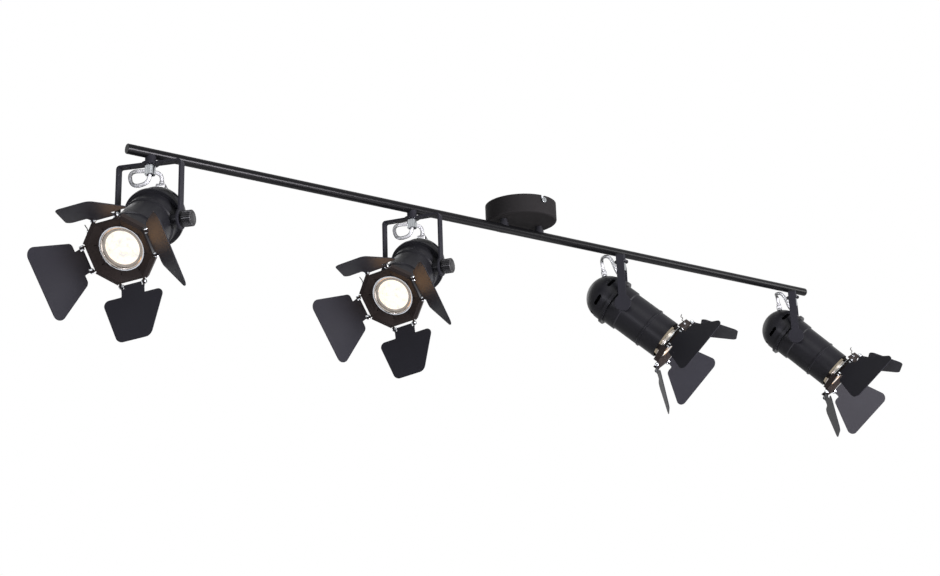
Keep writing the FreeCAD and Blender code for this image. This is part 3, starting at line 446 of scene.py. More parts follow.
# Matt black coat on the canopy's pressed steel: almost without a highlight.
CANOPY_COAT = PowderCoat("matt_black_coat_on_pressed_steel", "1b1a1a", 0.5, specular=0.004, grain_mm=1.6,
                         grain_depth_mm=0.02, cloud_colour="201f1f")
# Satin black coat on the front frames' sheet, painted a shade browner: painted light standing in for the
# warm glow of the lamp beside it.
LAMP_WARMED_FRAME_COAT = PowderCoat("satin_black_coat_on_folded_sheet_with_painted_lamp_light", "1f1b1a", 0.44, specular=0.03, grain_mm=1.6,
                        grain_depth_mm=0.02, cloud_colour="25201e")
# Satin black coat on the heads' spun shells: smoother, with a clearer highlight.
HEAD_COAT = PowderCoat("satin_black_coat_on_spun_shell", "141416", 0.34, specular=0.08, grain_mm=1.6,
                       grain_depth_mm=0.012, cloud_colour="18181b")
# Satin black coat on the posts' turned steel: as smooth, and clouded a little lighter.
POST_COAT = PowderCoat("satin_black_coat_on_turned_steel", "121214", 0.34, specular=0.08, grain_mm=1.2,
                       grain_depth_mm=0.01, cloud_colour="202023")
# Bright chrome plate on brass: mirror-like, with the faint haze of buffing.
CHROME = Finish("bright_chrome_plate", "aeb1b4", 0.1, metallic=1.0, grain_mm=0.8, grain_depth_mm=0.002,
                roughness_spread=0.04)
# Zinc-plated pressed steel: dull silver.
ZINC = ZincPlate("zinc_plated_steel", "aeb1b4", 0.4, metallic=1.0, grain_mm=0.9, grain_depth_mm=0.006)
# Black-oxide screw steel: dark, oily grey.
BLACK_OXIDE = Finish("black_oxide_steel", "3a3a3c", 0.38, metallic=1.0, grain_mm=0.5, grain_depth_mm=0.004)
# Blued spring steel: nearly black metal with a dull sheen.
SPRING_STEEL = Finish("blued_spring_steel", "2a2826", 0.36, metallic=1.0, grain_mm=0.6,
                      grain_depth_mm=0.003)
# Moulded black phenolic: satin, slightly softer than the coat.
KNOB_PHENOLIC = Speckled("moulded_black_phenolic", "151516", 0.38, specular=0.25, grain_mm=0.7,
                         grain_depth_mm=0.01, speckle_colour="202021")
# Moulded natural polyamide of a terminal block: warm white and slightly waxy.
POLYAMIDE = Speckled("moulded_natural_polyamide", "dcd9cf", 0.45, ior=1.53, grain_mm=0.8,
                     speckle_mm=4.0, speckle_colour="d0ccc0")
# Steatite ceramic, pressed and fired without glaze: off-white, dry and faintly grainy.
STEATITE = Speckled("fired_steatite", "d8d2c3", 0.7, ior=1.6, grain_mm=0.4, grain_depth_mm=0.02)
# Clear plasticised PVC of the cable's sheath and its moulded grip: glossy and see-through, with painted
# shade where its wall is seen edge-on.
CLEAR_PVC = ClearMoulding("clear_plasticised_pvc", "f0f1f2", 0.1, ior=1.45, grain_mm=3.0,
                          grain_depth_mm=0.01, roughness_spread=0.03)
# Pale PVC round the copper cores: satin.
GREY_CORE = Finish("grey_pvc_insulation", "c4c5c6", 0.4, ior=1.53, grain_mm=0.6)
WHITE_CORE = Finish("white_pvc_insulation", "dcdddd", 0.4, ior=1.53, grain_mm=0.6)
# Drawn aluminium rim of the lamp: dull, and painted brownish as painted light standing in for the lamp's own
# glow on it.
RIM_METAL = Finish("drawn_aluminium_rim", "aaa299", 0.22, metallic=1.0, grain_mm=0.8, grain_depth_mm=0.004)
# Frosted and pebbled pressed glass in front of the burning lamp.
LAMP_FRONT = LitGlass("lit_pebbled_glass", "57514a", 0.25, ior=1.47, grain_mm=1.2, grain_depth_mm=0.05)
# Aluminised pressed glass bowl: silvery and facetted, warm where light leaks through.
LAMP_BOWL = GlowingMirror("aluminised_pressed_glass", "e6dfd2", 0.18, metallic=1.0, grain_mm=1.5,
                          grain_depth_mm=0.03)

NODE_FINISHES = {
    "canopy_cup": CANOPY_COAT,
    "ceiling_bracket": ZINC,
    "terminal_block": POLYAMIDE,
    "standoff_posts": POST_COAT,
    "bar_tube": BAR_COAT,
    "swivel_sleeves": BLACK_COAT,
    "lamp_housing": HEAD_COAT,
    "rear_dome": HEAD_COAT,
    "front_frame": LAMP_WARMED_FRAME_COAT,
    "lampholder": STEATITE,
}


# ---------------------------------------------------------------- shapes


def new_object(name: str, data: bpy.types.ID) -> bpy.types.Object:
    """Links a mesh, curve, camera or light to the scene under the name given and returns its object."""
    made = bpy.data.objects.new(name, data)
    bpy.context.scene.collection.objects.link(made)
    return made


def finished_mesh(work: bmesh.types.BMesh, name: str) -> bpy.types.Mesh:
    """Closes a shape in progress: doubles merged, faces outwards, smooth but for real edges.

    Args:
        work: the shape, which is freed.
        name: the mesh's name.

    Returns:
        The new mesh.
    """
    bmesh.ops.remove_doubles(work, verts=work.verts, dist=1e-5)
    bmesh.ops.recalc_face_normals(work, faces=work.faces)
    mesh = bpy.data.meshes.new(name)
    work.to_mesh(mesh)
    work.free()
    mesh.shade_smooth()
    mesh.set_sharp_from_angle(angle=SMOOTH_ANGLE)
    return mesh


def revolved(name: str, profile: list[tuple[float, float]], segments: int = 96,
             ring: bool = False) -> bpy.types.Mesh:
    """Turns a profile about Z into a closed solid.

    Args:
        name: the mesh's name.
        profile: (radius, height) points in order; radius 0 is a pole.
        segments: how many faces go round.
        ring: whether the profile closes on itself without touching the axis.

    Returns:
        The new mesh.
    """
    work = bmesh.new()
    rows = []
    for radius, height in profile:
        count = 1 if radius <= 0.0 else segments
        angles = [2.0 * math.pi * k / segments for k in range(count)]
        rows.append([work.verts.new((radius * math.cos(a), radius * math.sin(a), height)) for a in angles])
    pairs = list(zip(rows, rows[1:] + rows[:1])) if ring else list(zip(rows, rows[1:]))
    for low, high in pairs:
        for here in range(segments):
            after = here + 1
            corners = [low[here % len(low)], low[after % len(low)],
                       high[after % len(high)], high[here % len(high)]]
            distinct = list(dict.fromkeys(corners))
            if len(distinct) > 2:
                work.faces.new(distinct)
    return finished_mesh(work, name)


def sections_along(points: list[Vector]) -> Iterator[tuple[Vector, Vector, Vector]]:
    """Carries a cross-section along a line without twist.

    Args:
        points: the line.

    Returns:
        Each point in turn, with two directions across the line.
    """
    across = (points[1] - points[0]).orthogonal().normalized()
    for k, point in enumerate(points):
        ahead = (points[min(k + 1, len(points) - 1)] - points[max(k - 1, 0)]).normalized()
        across = (across - ahead * across.dot(ahead)).normalized()
        yield point, across, ahead.cross(across)


def tube_along(name: str, points: list[Vector], radius: float, sides: int = 20) -> bpy.types.Mesh:
    """A capped round tube along a line, without twist.

    Args:
        name: the mesh's name.
        points: the centreline.
        radius: half the tube's thickness.
        sides: how many faces go round.

    Returns:
        The new mesh.
    """
    work = bmesh.new()
    turns = [2.0 * math.pi * s / sides for s in range(sides)]
    rows = []
    for point, across, up in sections_along(points):
        spokes = [across * math.cos(t) + up * math.sin(t) for t in turns]
        rows.append([work.verts.new(point + spoke * radius) for spoke in spokes])
    for low, high in zip(rows, rows[1:]):
        for s in range(sides):
            work.faces.new((low[s], low[(s + 1) % sides], high[(s + 1) % sides], high[s]))
    work.faces.new(rows[0])
    work.faces.new(rows[-1])
    bmesh.ops.recalc_face_normals(work, faces=work.faces)
    mesh = bpy.data.meshes.new(name)
    work.to_mesh(mesh)
    work.free()
    mesh.shade_smooth()
    mesh.set_sharp_from_angle(angle=CAP_ANGLE)
    return mesh


def smooth_line(name: str, route: list[Vector], corner_pull: float = 1.0) -> list[Vector]:
    """Smooth points along a NURBS line that a route controls.

    Args:
        name: a name for the curve, which is removed again.
        route: its control points.
        corner_pull: how strongly the line is drawn towards the route's inner points.

    Returns:
        Points in order from the route's first point to its last.
    """
    data = bpy.data.curves.new(name, "CURVE")
    data.dimensions = "3D"
    spline = data.splines.new("NURBS")
    spline.points.add(len(route) - 1)
    for point, place in zip(spline.points, route):
        point.co = (*place, 1.0)
    for point in spline.points[1:-1]:
        point.co.w = corner_pull
    spline.order_u = 3
    spline.use_endpoint_u = True
    spline.resolution_u = LINE_STEPS
    holder = new_object(name, data)
    line = evaluated_mesh(holder)
    points = [v.co.copy() for v in line.vertices]
    bpy.data.objects.remove(holder)
    bpy.data.meshes.remove(line)
    return points


def evaluated_mesh(made: bpy.types.Object) -> bpy.types.Mesh:
    """The plain mesh that an object's modifiers give, as a new data block."""
    bpy.context.view_layer.update()
    depsgraph = bpy.context.evaluated_depsgraph_get()
    return bpy.data.meshes.new_from_object(made.evaluated_get(depsgraph))


def softened_copy(node: str, name: str, width: float) -> bpy.types.Object:
    """Copies a CAD node's mesh and rounds its real edges, as coating over sheet metal does.

    Args:
        node: the CAD node.
        name: the new piece's name.
        width: how far the rounding reaches from each edge, in millimetres.

    Returns:
        The new piece, which isn't riding on a body yet.
    """
    work = bmesh.new()
    work.from_mesh(frame["nodes"][node].data)
    bmesh.ops.remove_doubles(work, verts=work.verts, dist=CAD_MERGE)
    bmesh.ops.dissolve_limit(work, angle_limit=FLAT_ANGLE, verts=work.verts, edges=work.edges)
    work.verts.index_update()
    corners = [v.co.copy() for v in work.verts]
    faces = [[v.index for v in f.verts] for f in work.faces]
    work.free()
    plain = bpy.data.meshes.new(name)
    plain.from_pydata(corners, [], faces)
    plain.shade_smooth()
    plain.set_sharp_from_angle(angle=SMOOTH_ANGLE)
    made = new_object(name, plain)
    bevel = made.modifiers.new("rounded_edges", "BEVEL")
    bevel.width = width * MILLIMETRE
    bevel.segments = 2
    bevel.limit_method = "ANGLE"
    bevel.angle_limit = BEVEL_ANGLE
    bevel.harden_normals = True
    rounded = evaluated_mesh(made)
    made.modifiers.clear()
    made.data = rounded
    bpy.data.meshes.remove(plain)
    rounded.name = name
    return made


def joined(name: str, meshes: list[bpy.types.Mesh]) -> bpy.types.Mesh:
    """Several local meshes as one, each still closed by itself.

    Args:
        name: the new mesh's name.
        meshes: the meshes, which are left alone.

    Returns:
        The new mesh.
    """
    work = bmesh.new()
    for mesh in meshes:
        work.from_mesh(mesh)
    made = bpy.data.meshes.new(name)
    work.to_mesh(made)
    work.free()
    made.shade_smooth()
    made.set_sharp_from_angle(angle=SMOOTH_ANGLE)
    return made


def place_piece(name: str, mesh: bpy.types.Mesh, where: Matrix, finish: Finish) -> bpy.types.Object:
    """Carries a local mesh in millimetres to its place in the frame and paints it.

    Args:
        name: the piece's name.
        mesh: the local mesh, which is copied.
        where: from the local frame to the frame of the whole object, in metres.
        finish: what the piece is finished with.

    Returns:
        The new piece.
    """
    copy = mesh.copy()
    copy.transform(where @ Matrix.Scale(MILLIMETRE, 4))
    copy.name = name
    made = new_object(name, copy)
    paint(made, finish)
    return made


def paint(made: bpy.types.Object, finish: Finish) -> None:
    """Gives a piece one finish all over."""
    made.data.materials.clear()
    made.data.materials.append(finish.material())
    for face in made.data.polygons:
        face.material_index = 0


def attach(made: bpy.types.Object, body: str, slot: Slot, *nodes: str) -> bpy.types.Object:
    """Lets a piece ride on a body and stand for CAD nodes.

    Args:
        made: the piece.
        body: the CAD body that it moves with.
        slot: the record's slot that it takes its finish from; not used.
        nodes: the CAD nodes that it stands for.

    Returns:
        The piece.
    """
    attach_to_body(made, body)
    if nodes:
        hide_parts(*nodes)
    LOG.info("%s on %s, %d faces", made.name, body, len(made.data.polygons))
    return made


# ---------------------------------------------------------------- repeated shapes


def node_group(name: str, sockets: dict[str, str]) -> bpy.types.NodeTree:
    """Starts a geometry node group with one geometry output.

    Args:
        name: the group's name.
        sockets: its inputs by name, each with the end of its socket type's name.

    Returns:
        The group, still without nodes.
    """
    tree = bpy.data.node_groups.new(name, "GeometryNodeTree")
    for label, kind in sockets.items():
        tree.interface.new_socket(label, in_out="INPUT", socket_type="NodeSocket" + kind)
    tree.interface.new_socket("Geometry", in_out="OUTPUT", socket_type="NodeSocketGeometry")
    return tree


def finish_group(tree: bpy.types.NodeTree, shape: bpy.types.Node, finish: bpy.types.NodeSocket) -> None:
    """Ends a geometry node group: one real mesh with one material.

    Args:
        tree: the node group.
        shape: the node whose first output is the shape.
        finish: the socket of the material.
    """
    single = add_node(tree, "GeometryNodeRealizeInstances", inputs={0: shape.outputs[0]})
    painted = add_node(tree, "GeometryNodeSetMaterial", inputs={0: single.outputs[0], "Material": finish})
    add_node(tree, "NodeGroupOutput", inputs={0: painted.outputs[0]})


@dataclass
class FlutedTurning:
    """Geometry nodes for a turned part with flutes round it and, if wanted, a driver slot.

    It stands on the XY plane and rises along Z.
    """

    radius: float
    length: float
    flutes: int = 0
    flute_depth: float = 0.0
    edge_round: float = 0.6
    slot_width: float = 0.0
    slot_depth: float = 0.0
    around: int = 144
    rings: int = 14

    def tree(self) -> bpy.types.NodeTree:
        """Builds the node group with named inputs, or finds the one that is built already.

        Returns:
            The node group.
        """
        made = bpy.data.node_groups.get("fluted_turning")
        if made is not None:
            return made
        tree = node_group("fluted_turning", {
            "Radius": "Float", "Length": "Float", "Flutes": "Float", "Flute Depth": "Float",
            "Edge Round": "Float", "Slot Width": "Float", "Slot Depth": "Float", "Around": "Int",
            "Rings": "Int", "Finish": "Material"})
        given = add_node(tree, "NodeGroupInput").outputs
        drum = add_node(tree, "GeometryNodeMeshCylinder", {"fill_type": "NGON"}, {
            "Vertices": given["Around"], "Side Segments": given["Rings"], "Radius": 1.0, "Depth": 1.0})
        here = add_node(tree, "GeometryNodeInputPosition").outputs[0]
        part = add_node(tree, "ShaderNodeSeparateXYZ", inputs={0: here}).outputs

        def maths(operation: str, first: bpy.types.NodeSocket | float,
                  second: bpy.types.NodeSocket | float = 0.0) -> bpy.types.NodeSocket:
            """Adds one sum and returns the socket of its answer."""
            node = add_node(tree, "ShaderNodeMath", {"operation": operation}, {0: first, 1: second})
            return node.outputs[0]

        angle = maths("ARCTAN2", part["Y"], part["X"])
        wave = maths("MAXIMUM", maths("COSINE", maths("MULTIPLY", angle, given["Flutes"])), 0.0)
        groove = maths("MULTIPLY", maths("POWER", wave, FLUTE_SHARPNESS), given["Flute Depth"])
        from_middle = maths("ABSOLUTE", maths("MULTIPLY", part["Z"], given["Length"]))
        half = maths("MULTIPLY", given["Length"], 0.5)
        edge_start = maths("SUBTRACT", half, given["Edge Round"])
        into_edge = maths("MAXIMUM", maths("SUBTRACT", from_middle, edge_start), 0.0)
        squared = maths("SUBTRACT", maths("POWER", given["Edge Round"], 2.0), maths("POWER", into_edge, 2.0))
        drop = maths("SUBTRACT", given["Edge Round"], maths("SQRT", maths("MAXIMUM", squared, 0.0)))
        reach = maths("SUBTRACT", maths("SUBTRACT", given["Radius"], groove), drop)
        rise = maths("MULTIPLY", maths("ADD", part["Z"], 0.5), given["Length"])
        spot = add_node(tree, "ShaderNodeCombineXYZ", inputs={
            "X": maths("MULTIPLY", part["X"], reach), "Y": maths("MULTIPLY", part["Y"], reach), "Z": rise})
        shaped = add_node(tree, "GeometryNodeSetPosition", inputs={
            0: drum.outputs["Mesh"], "Position": spot.outputs[0]})
        size = add_node(tree, "ShaderNodeCombineXYZ", inputs={
            "X": given["Slot Width"], "Y": maths("MULTIPLY", given["Radius"], 3.0),
            "Z": maths("MULTIPLY", given["Slot Depth"], 2.0)})
        top = add_node(tree, "ShaderNodeCombineXYZ", inputs={"Z": given["Length"]})
        cutter = add_node(tree, "GeometryNodeMeshCube", inputs={"Size": size.outputs[0]})
        cutter_there = add_node(tree, "GeometryNodeTransform", inputs={
            0: cutter.outputs[0], "Translation": top.outputs[0]})
        slotted = add_node(tree, "GeometryNodeMeshBoolean", {"operation": "DIFFERENCE"}, {
            0: shaped.outputs[0], 1: cutter_there.outputs[0]})
        wanted = maths("GREATER_THAN", given["Slot Width"], 0.0)
        chosen = add_node(tree, "GeometryNodeSwitch", {"input_type": "GEOMETRY"}, {
            0: wanted, 1: shaped.outputs[0], 2: slotted.outputs[0]})
        finish_group(tree, chosen, given["Finish"])
        return tree

    def mesh(self, name: str, finish: Finish) -> bpy.types.Mesh:
        """Runs the nodes for this part's sizes.

        Args:
            name: the mesh's name.
            finish: what the part is finished with.

        Returns:
            A plain mesh in millimetres.
        """
        values = {"Radius": self.radius, "Length": self.length, "Flutes": float(self.flutes),
                  "Flute Depth": self.flute_depth, "Edge Round": self.edge_round,
                  "Slot Width": self.slot_width, "Slot Depth": self.slot_depth,
                  "Around": self.around, "Rings": self.rings, "Finish": finish.material()}
        return run_nodes(self.tree(), values, name, bpy.data.meshes.new(name + "_seed"))


@dataclass
class PlacedCopies:
    """Geometry nodes that set one item on each point, with its Z along the point's own direction."""

    turn_seed: int = 3

    def tree(self) -> bpy.types.NodeTree:
        """Builds the node group with named inputs, or finds the one that is built already.

        Returns:
            The node group.
        """
        made = bpy.data.node_groups.get("placed_copies")
        if made is not None:
            return made
        tree = node_group("placed_copies", {
            "Points": "Geometry", "Item": "Object", "Turn Seed": "Int", "Finish": "Material"})
        given = add_node(tree, "NodeGroupInput").outputs
        along = add_node(tree, "GeometryNodeInputNamedAttribute", {"data_type": "FLOAT_VECTOR"}, {
            "Name": "along"})
        aimed = add_node(tree, "FunctionNodeAlignRotationToVector", {"axis": "Z"}, {
            "Vector": along.outputs[0]})
        chance = add_node(tree, "FunctionNodeRandomValue", {"data_type": "FLOAT"}, {
            "Min": 0.0, "Max": math.pi, "Seed": given["Turn Seed"]})
        spin = add_node(tree, "FunctionNodeAxisAngleToRotation", inputs={
            "Axis": (0.0, 0.0, 1.0), "Angle": chance.outputs[1]})
        turned = add_node(tree, "FunctionNodeRotateRotation", {"rotation_space": "LOCAL"}, {
            0: aimed.outputs[0], 1: spin.outputs[0]})
        item = add_node(tree, "GeometryNodeObjectInfo", inputs={0: given["Item"]})
        copies = add_node(tree, "GeometryNodeInstanceOnPoints", inputs={
            "Points": given["Points"], "Instance": item.outputs["Geometry"], "Rotation": turned.outputs[0]})
        finish_group(tree, copies, given["Finish"])
        return tree

    def mesh(self, name: str, item: bpy.types.Mesh, spots: list[tuple[Vector, Vector]],
             finish: Finish) -> bpy.types.Mesh:
        """Sets copies of an item at spots.

        Args:
            name: the new mesh's name.
            item: the mesh to repeat.
            spots: where each copy stands and which way its Z points.
            finish: what the copies are finished with.

        Returns:
            A plain mesh with every copy in it.
        """
        points = bpy.data.meshes.new(name + "_spots")
        points.from_pydata([spot for spot, _ in spots], [], [])
        along = points.attributes.new("along", "FLOAT_VECTOR", "POINT")
        along.data.foreach_set("vector", [value for _, direction in spots for value in direction])
        holder = new_object(name + "_item", item)
        values = {"Item": holder, "Turn Seed": self.turn_seed, "Finish": finish.material()}
        made = run_nodes(self.tree(), values, name, points)
        bpy.data.objects.remove(holder)
        return made


def run_nodes(tree: bpy.types.NodeTree, values: dict, name: str, seed: bpy.types.Mesh) -> bpy.types.Mesh:
    """Evaluates a geometry node group on a mesh and keeps the result as a plain mesh.

    Args:
        tree: the node group.
        values: its inputs by name.
        name: the new mesh's name.
        seed: the mesh that the modifier stands on.

    Returns:
        The new mesh, shaded smooth but for real edges.
    """
    holder = new_object(name + "_holder", seed)
    modifier = holder.modifiers.new(tree.name, "NODES")
    modifier.node_group = tree
    for socket in tree.interface.items_tree:
        if socket.item_type == "SOCKET" and socket.in_out == "INPUT" and socket.name in values:
            modifier[socket.identifier] = values[socket.name]
    mesh = evaluated_mesh(holder)
    bpy.data.objects.remove(holder)
    mesh.name = name
    mesh.shade_smooth()
    mesh.set_sharp_from_angle(angle=SMOOTH_ANGLE)
    return mesh


# ---------------------------------------------------------------- where things are


def joint(name: str) -> dict:
    """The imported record's joint of that name."""
    return next(j for j in frame["joints"] if j["name"] == name)


def axes_frame(origin: Vector, left: Vector, forward: Vector) -> Matrix:
    """A placement whose X is left and whose Z is forward.

    Args:
        origin: where the local origin lies.
        left: the direction of local X.
        forward: the direction of local Z.

    Returns:
        The placement as a matrix.
    """
    ahead = forward.normalized()
    side = (left - ahead * left.dot(ahead)).normalized()
    up = ahead.cross(side)
    turn = Matrix((side, up, ahead)).transposed().to_4x4()
    return Matrix.Translation(origin) @ turn


@dataclass
class HeadFrames:
    """Where one head and its pieces are, read from the joints."""

    number: int
    yoke: Matrix = field(init=False)
    head: Matrix = field(init=False)
    front: Matrix = field(init=False)

    def __post_init__(self) -> None:
        """Works the placements out from the swivel, the tilt and the front frame's turn."""
        swivel = joint(f"swivel_{self.number}")
        tilt = joint(f"tilt_{self.number}")
        turn = joint(f"frame_turn_{self.number}")
        top = joint(f"leaf_top_hinge_{self.number}")
        left = Vector(tilt["axis"])
        forward = Vector(turn["axis"])
        pivot = Vector(tilt["pos_m"])
        self.yoke = axes_frame(Vector(swivel["pos_m"]), left, Vector((0.0, 0.0, 1.0)))
        self.head = axes_frame(pivot, left, forward)
        self.front = axes_frame(pivot, -Vector(top["axis"]), forward)


# ---------------------------------------------------------------- camera and light


@dataclass
class Viewpoint:
    """A camera that stands below the bar's left half and looks up along it."""

    lens: float = 56.515
    place: tuple[float, float, float] = (-1.200354, -1.460178, -0.673421)
    azimuth: float = 37.2276
    pitch: float = 16.5025
    roll: float = -2.0134
    sensor_width: float = 36.0
    nearest: float = 0.01
    farthest: float = 50.0

    def build(self) -> None:
        """Makes the scene's camera."""
        across = math.radians(self.azimuth)
        rise = math.radians(self.pitch)
        lean = math.radians(self.roll)
        level = math.cos(rise)
        forward = Vector((math.sin(across) * level, math.cos(across) * level, math.sin(rise)))
        right = Vector((math.cos(across), -math.sin(across), 0.0))
        up = right.cross(forward)
        camera_x = right * math.cos(lean) + up * math.sin(lean)
        camera_y = -right * math.sin(lean) + up * math.cos(lean)
        turn = Matrix((camera_x, camera_y, -forward)).transposed().to_4x4()
        data = bpy.data.cameras.new("viewpoint")
        data.lens = self.lens
        data.sensor_width = self.sensor_width
        data.clip_start = self.nearest
        data.clip_end = self.farthest
        made = new_object("viewpoint", data)
        made.matrix_world = Matrix.Translation(Vector(self.place)) @ turn
        bpy.context.scene.camera = made


@dataclass(frozen=True)
class SoftBox:
    """A square studio light with a diffuser."""

    name: str
    azimuth: float
    elevation: float
    distance: float
    size: float
    power: float
    colour: str = "ffffff"

    def build(self, centre: Vector) -> None:
        """Hangs the light round a point, facing it.

        Args:
            centre: the point that it lights.
        """
        across = math.radians(self.azimuth)
        rise = math.radians(self.elevation)
        level = math.cos(rise)
        outwards = Vector((math.sin(across) * level, -math.cos(across) * level, math.sin(rise)))
        data = bpy.data.lights.new(self.name, "AREA")
        data.shape = "SQUARE"
        data.size = self.size
        data.energy = self.power
        data.color = linear(self.colour)[:3]
        made = new_object(self.name, data)
        made.location = centre + outwards * self.distance
        made.rotation_mode = "QUATERNION"
        made.rotation_quaternion = (-outwards).to_track_quat("-Z", "Y")


@dataclass
class Studio:
    """A white room with a pale floor well below the bar and soft, even light."""

    floor_drop: float = 1.25
    floor_reach: float = 14.0
    floor_colour: str = "f4f4f4"
    floor_roughness: float = 0.9
    floor_glow: float = 0.3
    room_light: float = 0.34
    lights: tuple[SoftBox, ...] = (
        SoftBox("key_softbox", -30.0, 38.0, 2.6, 1.4, 20.0),
        SoftBox("side_softbox", 52.0, 4.0, 2.6, 1.0, 30.0),
        SoftBox("low_softbox", 12.0, -7.0, 2.6, 1.0, 190.0, "f6f2fa"),
        SoftBox("left_softbox", -74.0, -4.0, 2.6, 0.45, 32.0, "efeffa"),
        SoftBox("floor_softbox", 74.0, -52.0, 1.6, 0.5, 3.0),
        SoftBox("back_softbox", 175.0, 25.0, 2.4, 1.2, 8.0),
    )

    def build(self) -> None:
        """Makes the floor, the white surround and the lights."""
        low, high = CAD_BOX
        centre = (low + high) / 2.0
        self.floor(centre, low.z)
        self.surround()
        for light in self.lights:
            light.build(centre)

    def show_white(self, tree: bpy.types.NodeTree) -> bpy.types.NodeSocket:
        """Finds the rays that see the background directly, in metal or through glass.

        Args:
            tree: the node tree that takes the test.

        Returns:
            A socket that is 1 for those rays and 0 for the others.
        """
        path = add_node(tree, "ShaderNodeLightPath").outputs
        seen = add_node(tree, "ShaderNodeMath", {"operation": "MAXIMUM"}, {
            0: path["Is Camera Ray"], 1: path["Is Glossy Ray"]})
        through = add_node(tree, "ShaderNodeMath", {"operation": "MAXIMUM"}, {
            0: seen.outputs[0], 1: path["Is Transmission Ray"]})
        return through.outputs[0]

    def floor(self, centre: Vector, lowest: float) -> None:
        """Makes the floor.

        Args:
            centre: the middle of the object.
            lowest: the height of its lowest point.
        """
        mesh = bpy.data.meshes.new("floor")
        reach = self.floor_reach
        level = lowest - self.floor_drop
        signs = ((-1, -1), (1, -1), (1, 1), (-1, 1))
        corners = [(centre.x + x * reach, centre.y + y * reach, level) for x, y in signs]
        mesh.from_pydata(corners, [], [(0, 1, 2, 3)])
        made = new_object("floor", mesh)
        material = bpy.data.materials.new("pale_floor")
        material.use_nodes = True
        tree = material.node_tree
        shader = tree.nodes["Principled BSDF"]
        shader.inputs["Base Color"].default_value = linear(self.floor_colour)
        shader.inputs["Roughness"].default_value = self.floor_roughness
        shader.inputs["Emission Color"].default_value = (1.0, 1.0, 1.0, 1.0)
        lift = add_node(tree, "ShaderNodeMath", {"operation": "MULTIPLY"}, {
            0: self.show_white(tree), 1: self.floor_glow})
        tree.links.new(lift.outputs[0], shader.inputs["Emission Strength"])
        made.data.materials.append(material)

    def surround(self) -> None:
        """Makes the world: a plain level of light, and white where it is seen."""
        world = bpy.data.worlds.new("white_surround")
        bpy.context.scene.world = world
        world.use_nodes = True
        tree = world.node_tree
        tree.nodes.clear()
        strength = add_node(tree, "ShaderNodeMapRange", inputs={
            "Value": self.show_white(tree), "To Min": self.room_light, "To Max": 1.0})
        sky = add_node(tree, "ShaderNodeBackground", inputs={
            "Color": (1.0, 1.0, 1.0, 1.0), "Strength": strength.outputs[0]})
        add_node(tree, "ShaderNodeOutputWorld", inputs={0: sky.outputs[0]})


# ---------------------------------------------------------------- the lamp cable


@dataclass
class LampCable:
    """The clear cable from the swivel nut over the yoke to the dome.

    Its radius and its cores are in millimetres, and its route, dome and grip are in metres.
    """

    radius: float = 2.4
    core_radius: float = 0.8
    core_offset: float = 0.95
    core_turns: float = 0.4
    core_sides: int = 10
    corner_pull: float = 2.2
    nut_bottom: tuple[float, float, float] = (0.0, 0.0, -0.0228)
    corners: tuple[tuple[float, float, float], ...] = (
        (-0.0015, -0.001, -0.035),
        (-0.025, -0.006, -0.036),
        (-0.033, -0.013, -0.014),
        (-0.020, -0.025, -0.009),
    )
    dome_centre: float = -0.0265
    dome_radius: float = 0.0325
    grip_height: float = 0.008
    grip_rise: float = 0.015
    latitude: float = 40.0
    grip_roll: float = 1.0
    bend: tuple[float, float, float] = (0.0070, 0.0083, -0.0063)

    def grip_turn(self) -> Matrix:
        """Turns Z to point out of the dome at the grip, in the head's frame."""
        roll = Matrix.Rotation(math.radians(-self.grip_roll), 4, "Z")
        return roll @ Matrix.Rotation(math.radians(self.latitude - 180.0), 4, "X")

    def route(self, frames: HeadFrames) -> list[Vector]:
        """Carries the route's points under the bar, over the yoke and down into the grip.

        Args:
            frames: where the head and its yoke are.

        Returns:
            The points in the frame of the whole object.
        """
        out = (self.grip_turn() @ Vector((0.0, 0.0, 1.0, 0.0))).to_3d()
        entry = Vector((0.0, 0.0, self.dome_centre)) + out * (self.dome_radius + self.grip_height)
        above = entry + out * self.grip_rise
        points = [frames.yoke @ Vector(self.nut_bottom)]
        points += [frames.yoke @ Vector((left, -forward, up)) for left, forward, up in self.corners]
        points += [frames.head @ above, frames.head @ entry]
        return points

    def core_line(self, points: list[Vector], phase: float) -> list[Vector]:
        """A line that winds round the centreline, for one insulated core.

        Args:
            points: the centreline.
            phase: where round the centreline it starts, in radians.

        Returns:
            As many points as the centreline has.
        """
        line = []
        for k, (point, across, up) in enumerate(sections_along(points)):
            turn = phase + 2.0 * math.pi * self.core_turns * k / (len(points) - 1)
            offset = across * math.cos(turn) + up * math.sin(turn)
            line.append(point + offset * self.core_offset * MILLIMETRE)
        return line

    def build(self, frames: HeadFrames) -> None:
        """Args:
            frames: where the head's pieces are.
        """
        number = frames.number
        route = self.route(frames)
        points = smooth_line(f"cable_line_{number}", route, self.corner_pull)
        length = sum((b - a).length for a, b in zip(points, points[1:]))
        sheath = new_object(f"cable_sheath_{number}", tube_along(
            f"cable_sheath_{number}", points, self.radius * MILLIMETRE))
        paint(sheath, CLEAR_PVC)
        cores = []
        for label, phase, finish in (("grey", 0.0, GREY_CORE), ("white", math.pi, WHITE_CORE)):
            core = new_object(f"{label}_core_{number}", tube_along(
                f"{label}_core_{number}", self.core_line(points, phase), self.core_radius * MILLIMETRE,
                self.core_sides))
            paint(core, finish)
            cores.append(core)
        bend = frames.yoke.to_3x3() @ Vector(self.bend)
        for piece in [sheath] + cores:
            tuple(route[-1])
            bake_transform(piece)
        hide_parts(f"lamp_cable_{number}")
        tuple(points[0])
        [tuple(p) for p in points]
        LOG.info("cable %d is %.1f mm long", number, length / MILLIMETRE)


# ---------------------------------------------------------------- sheet metal and turned parts


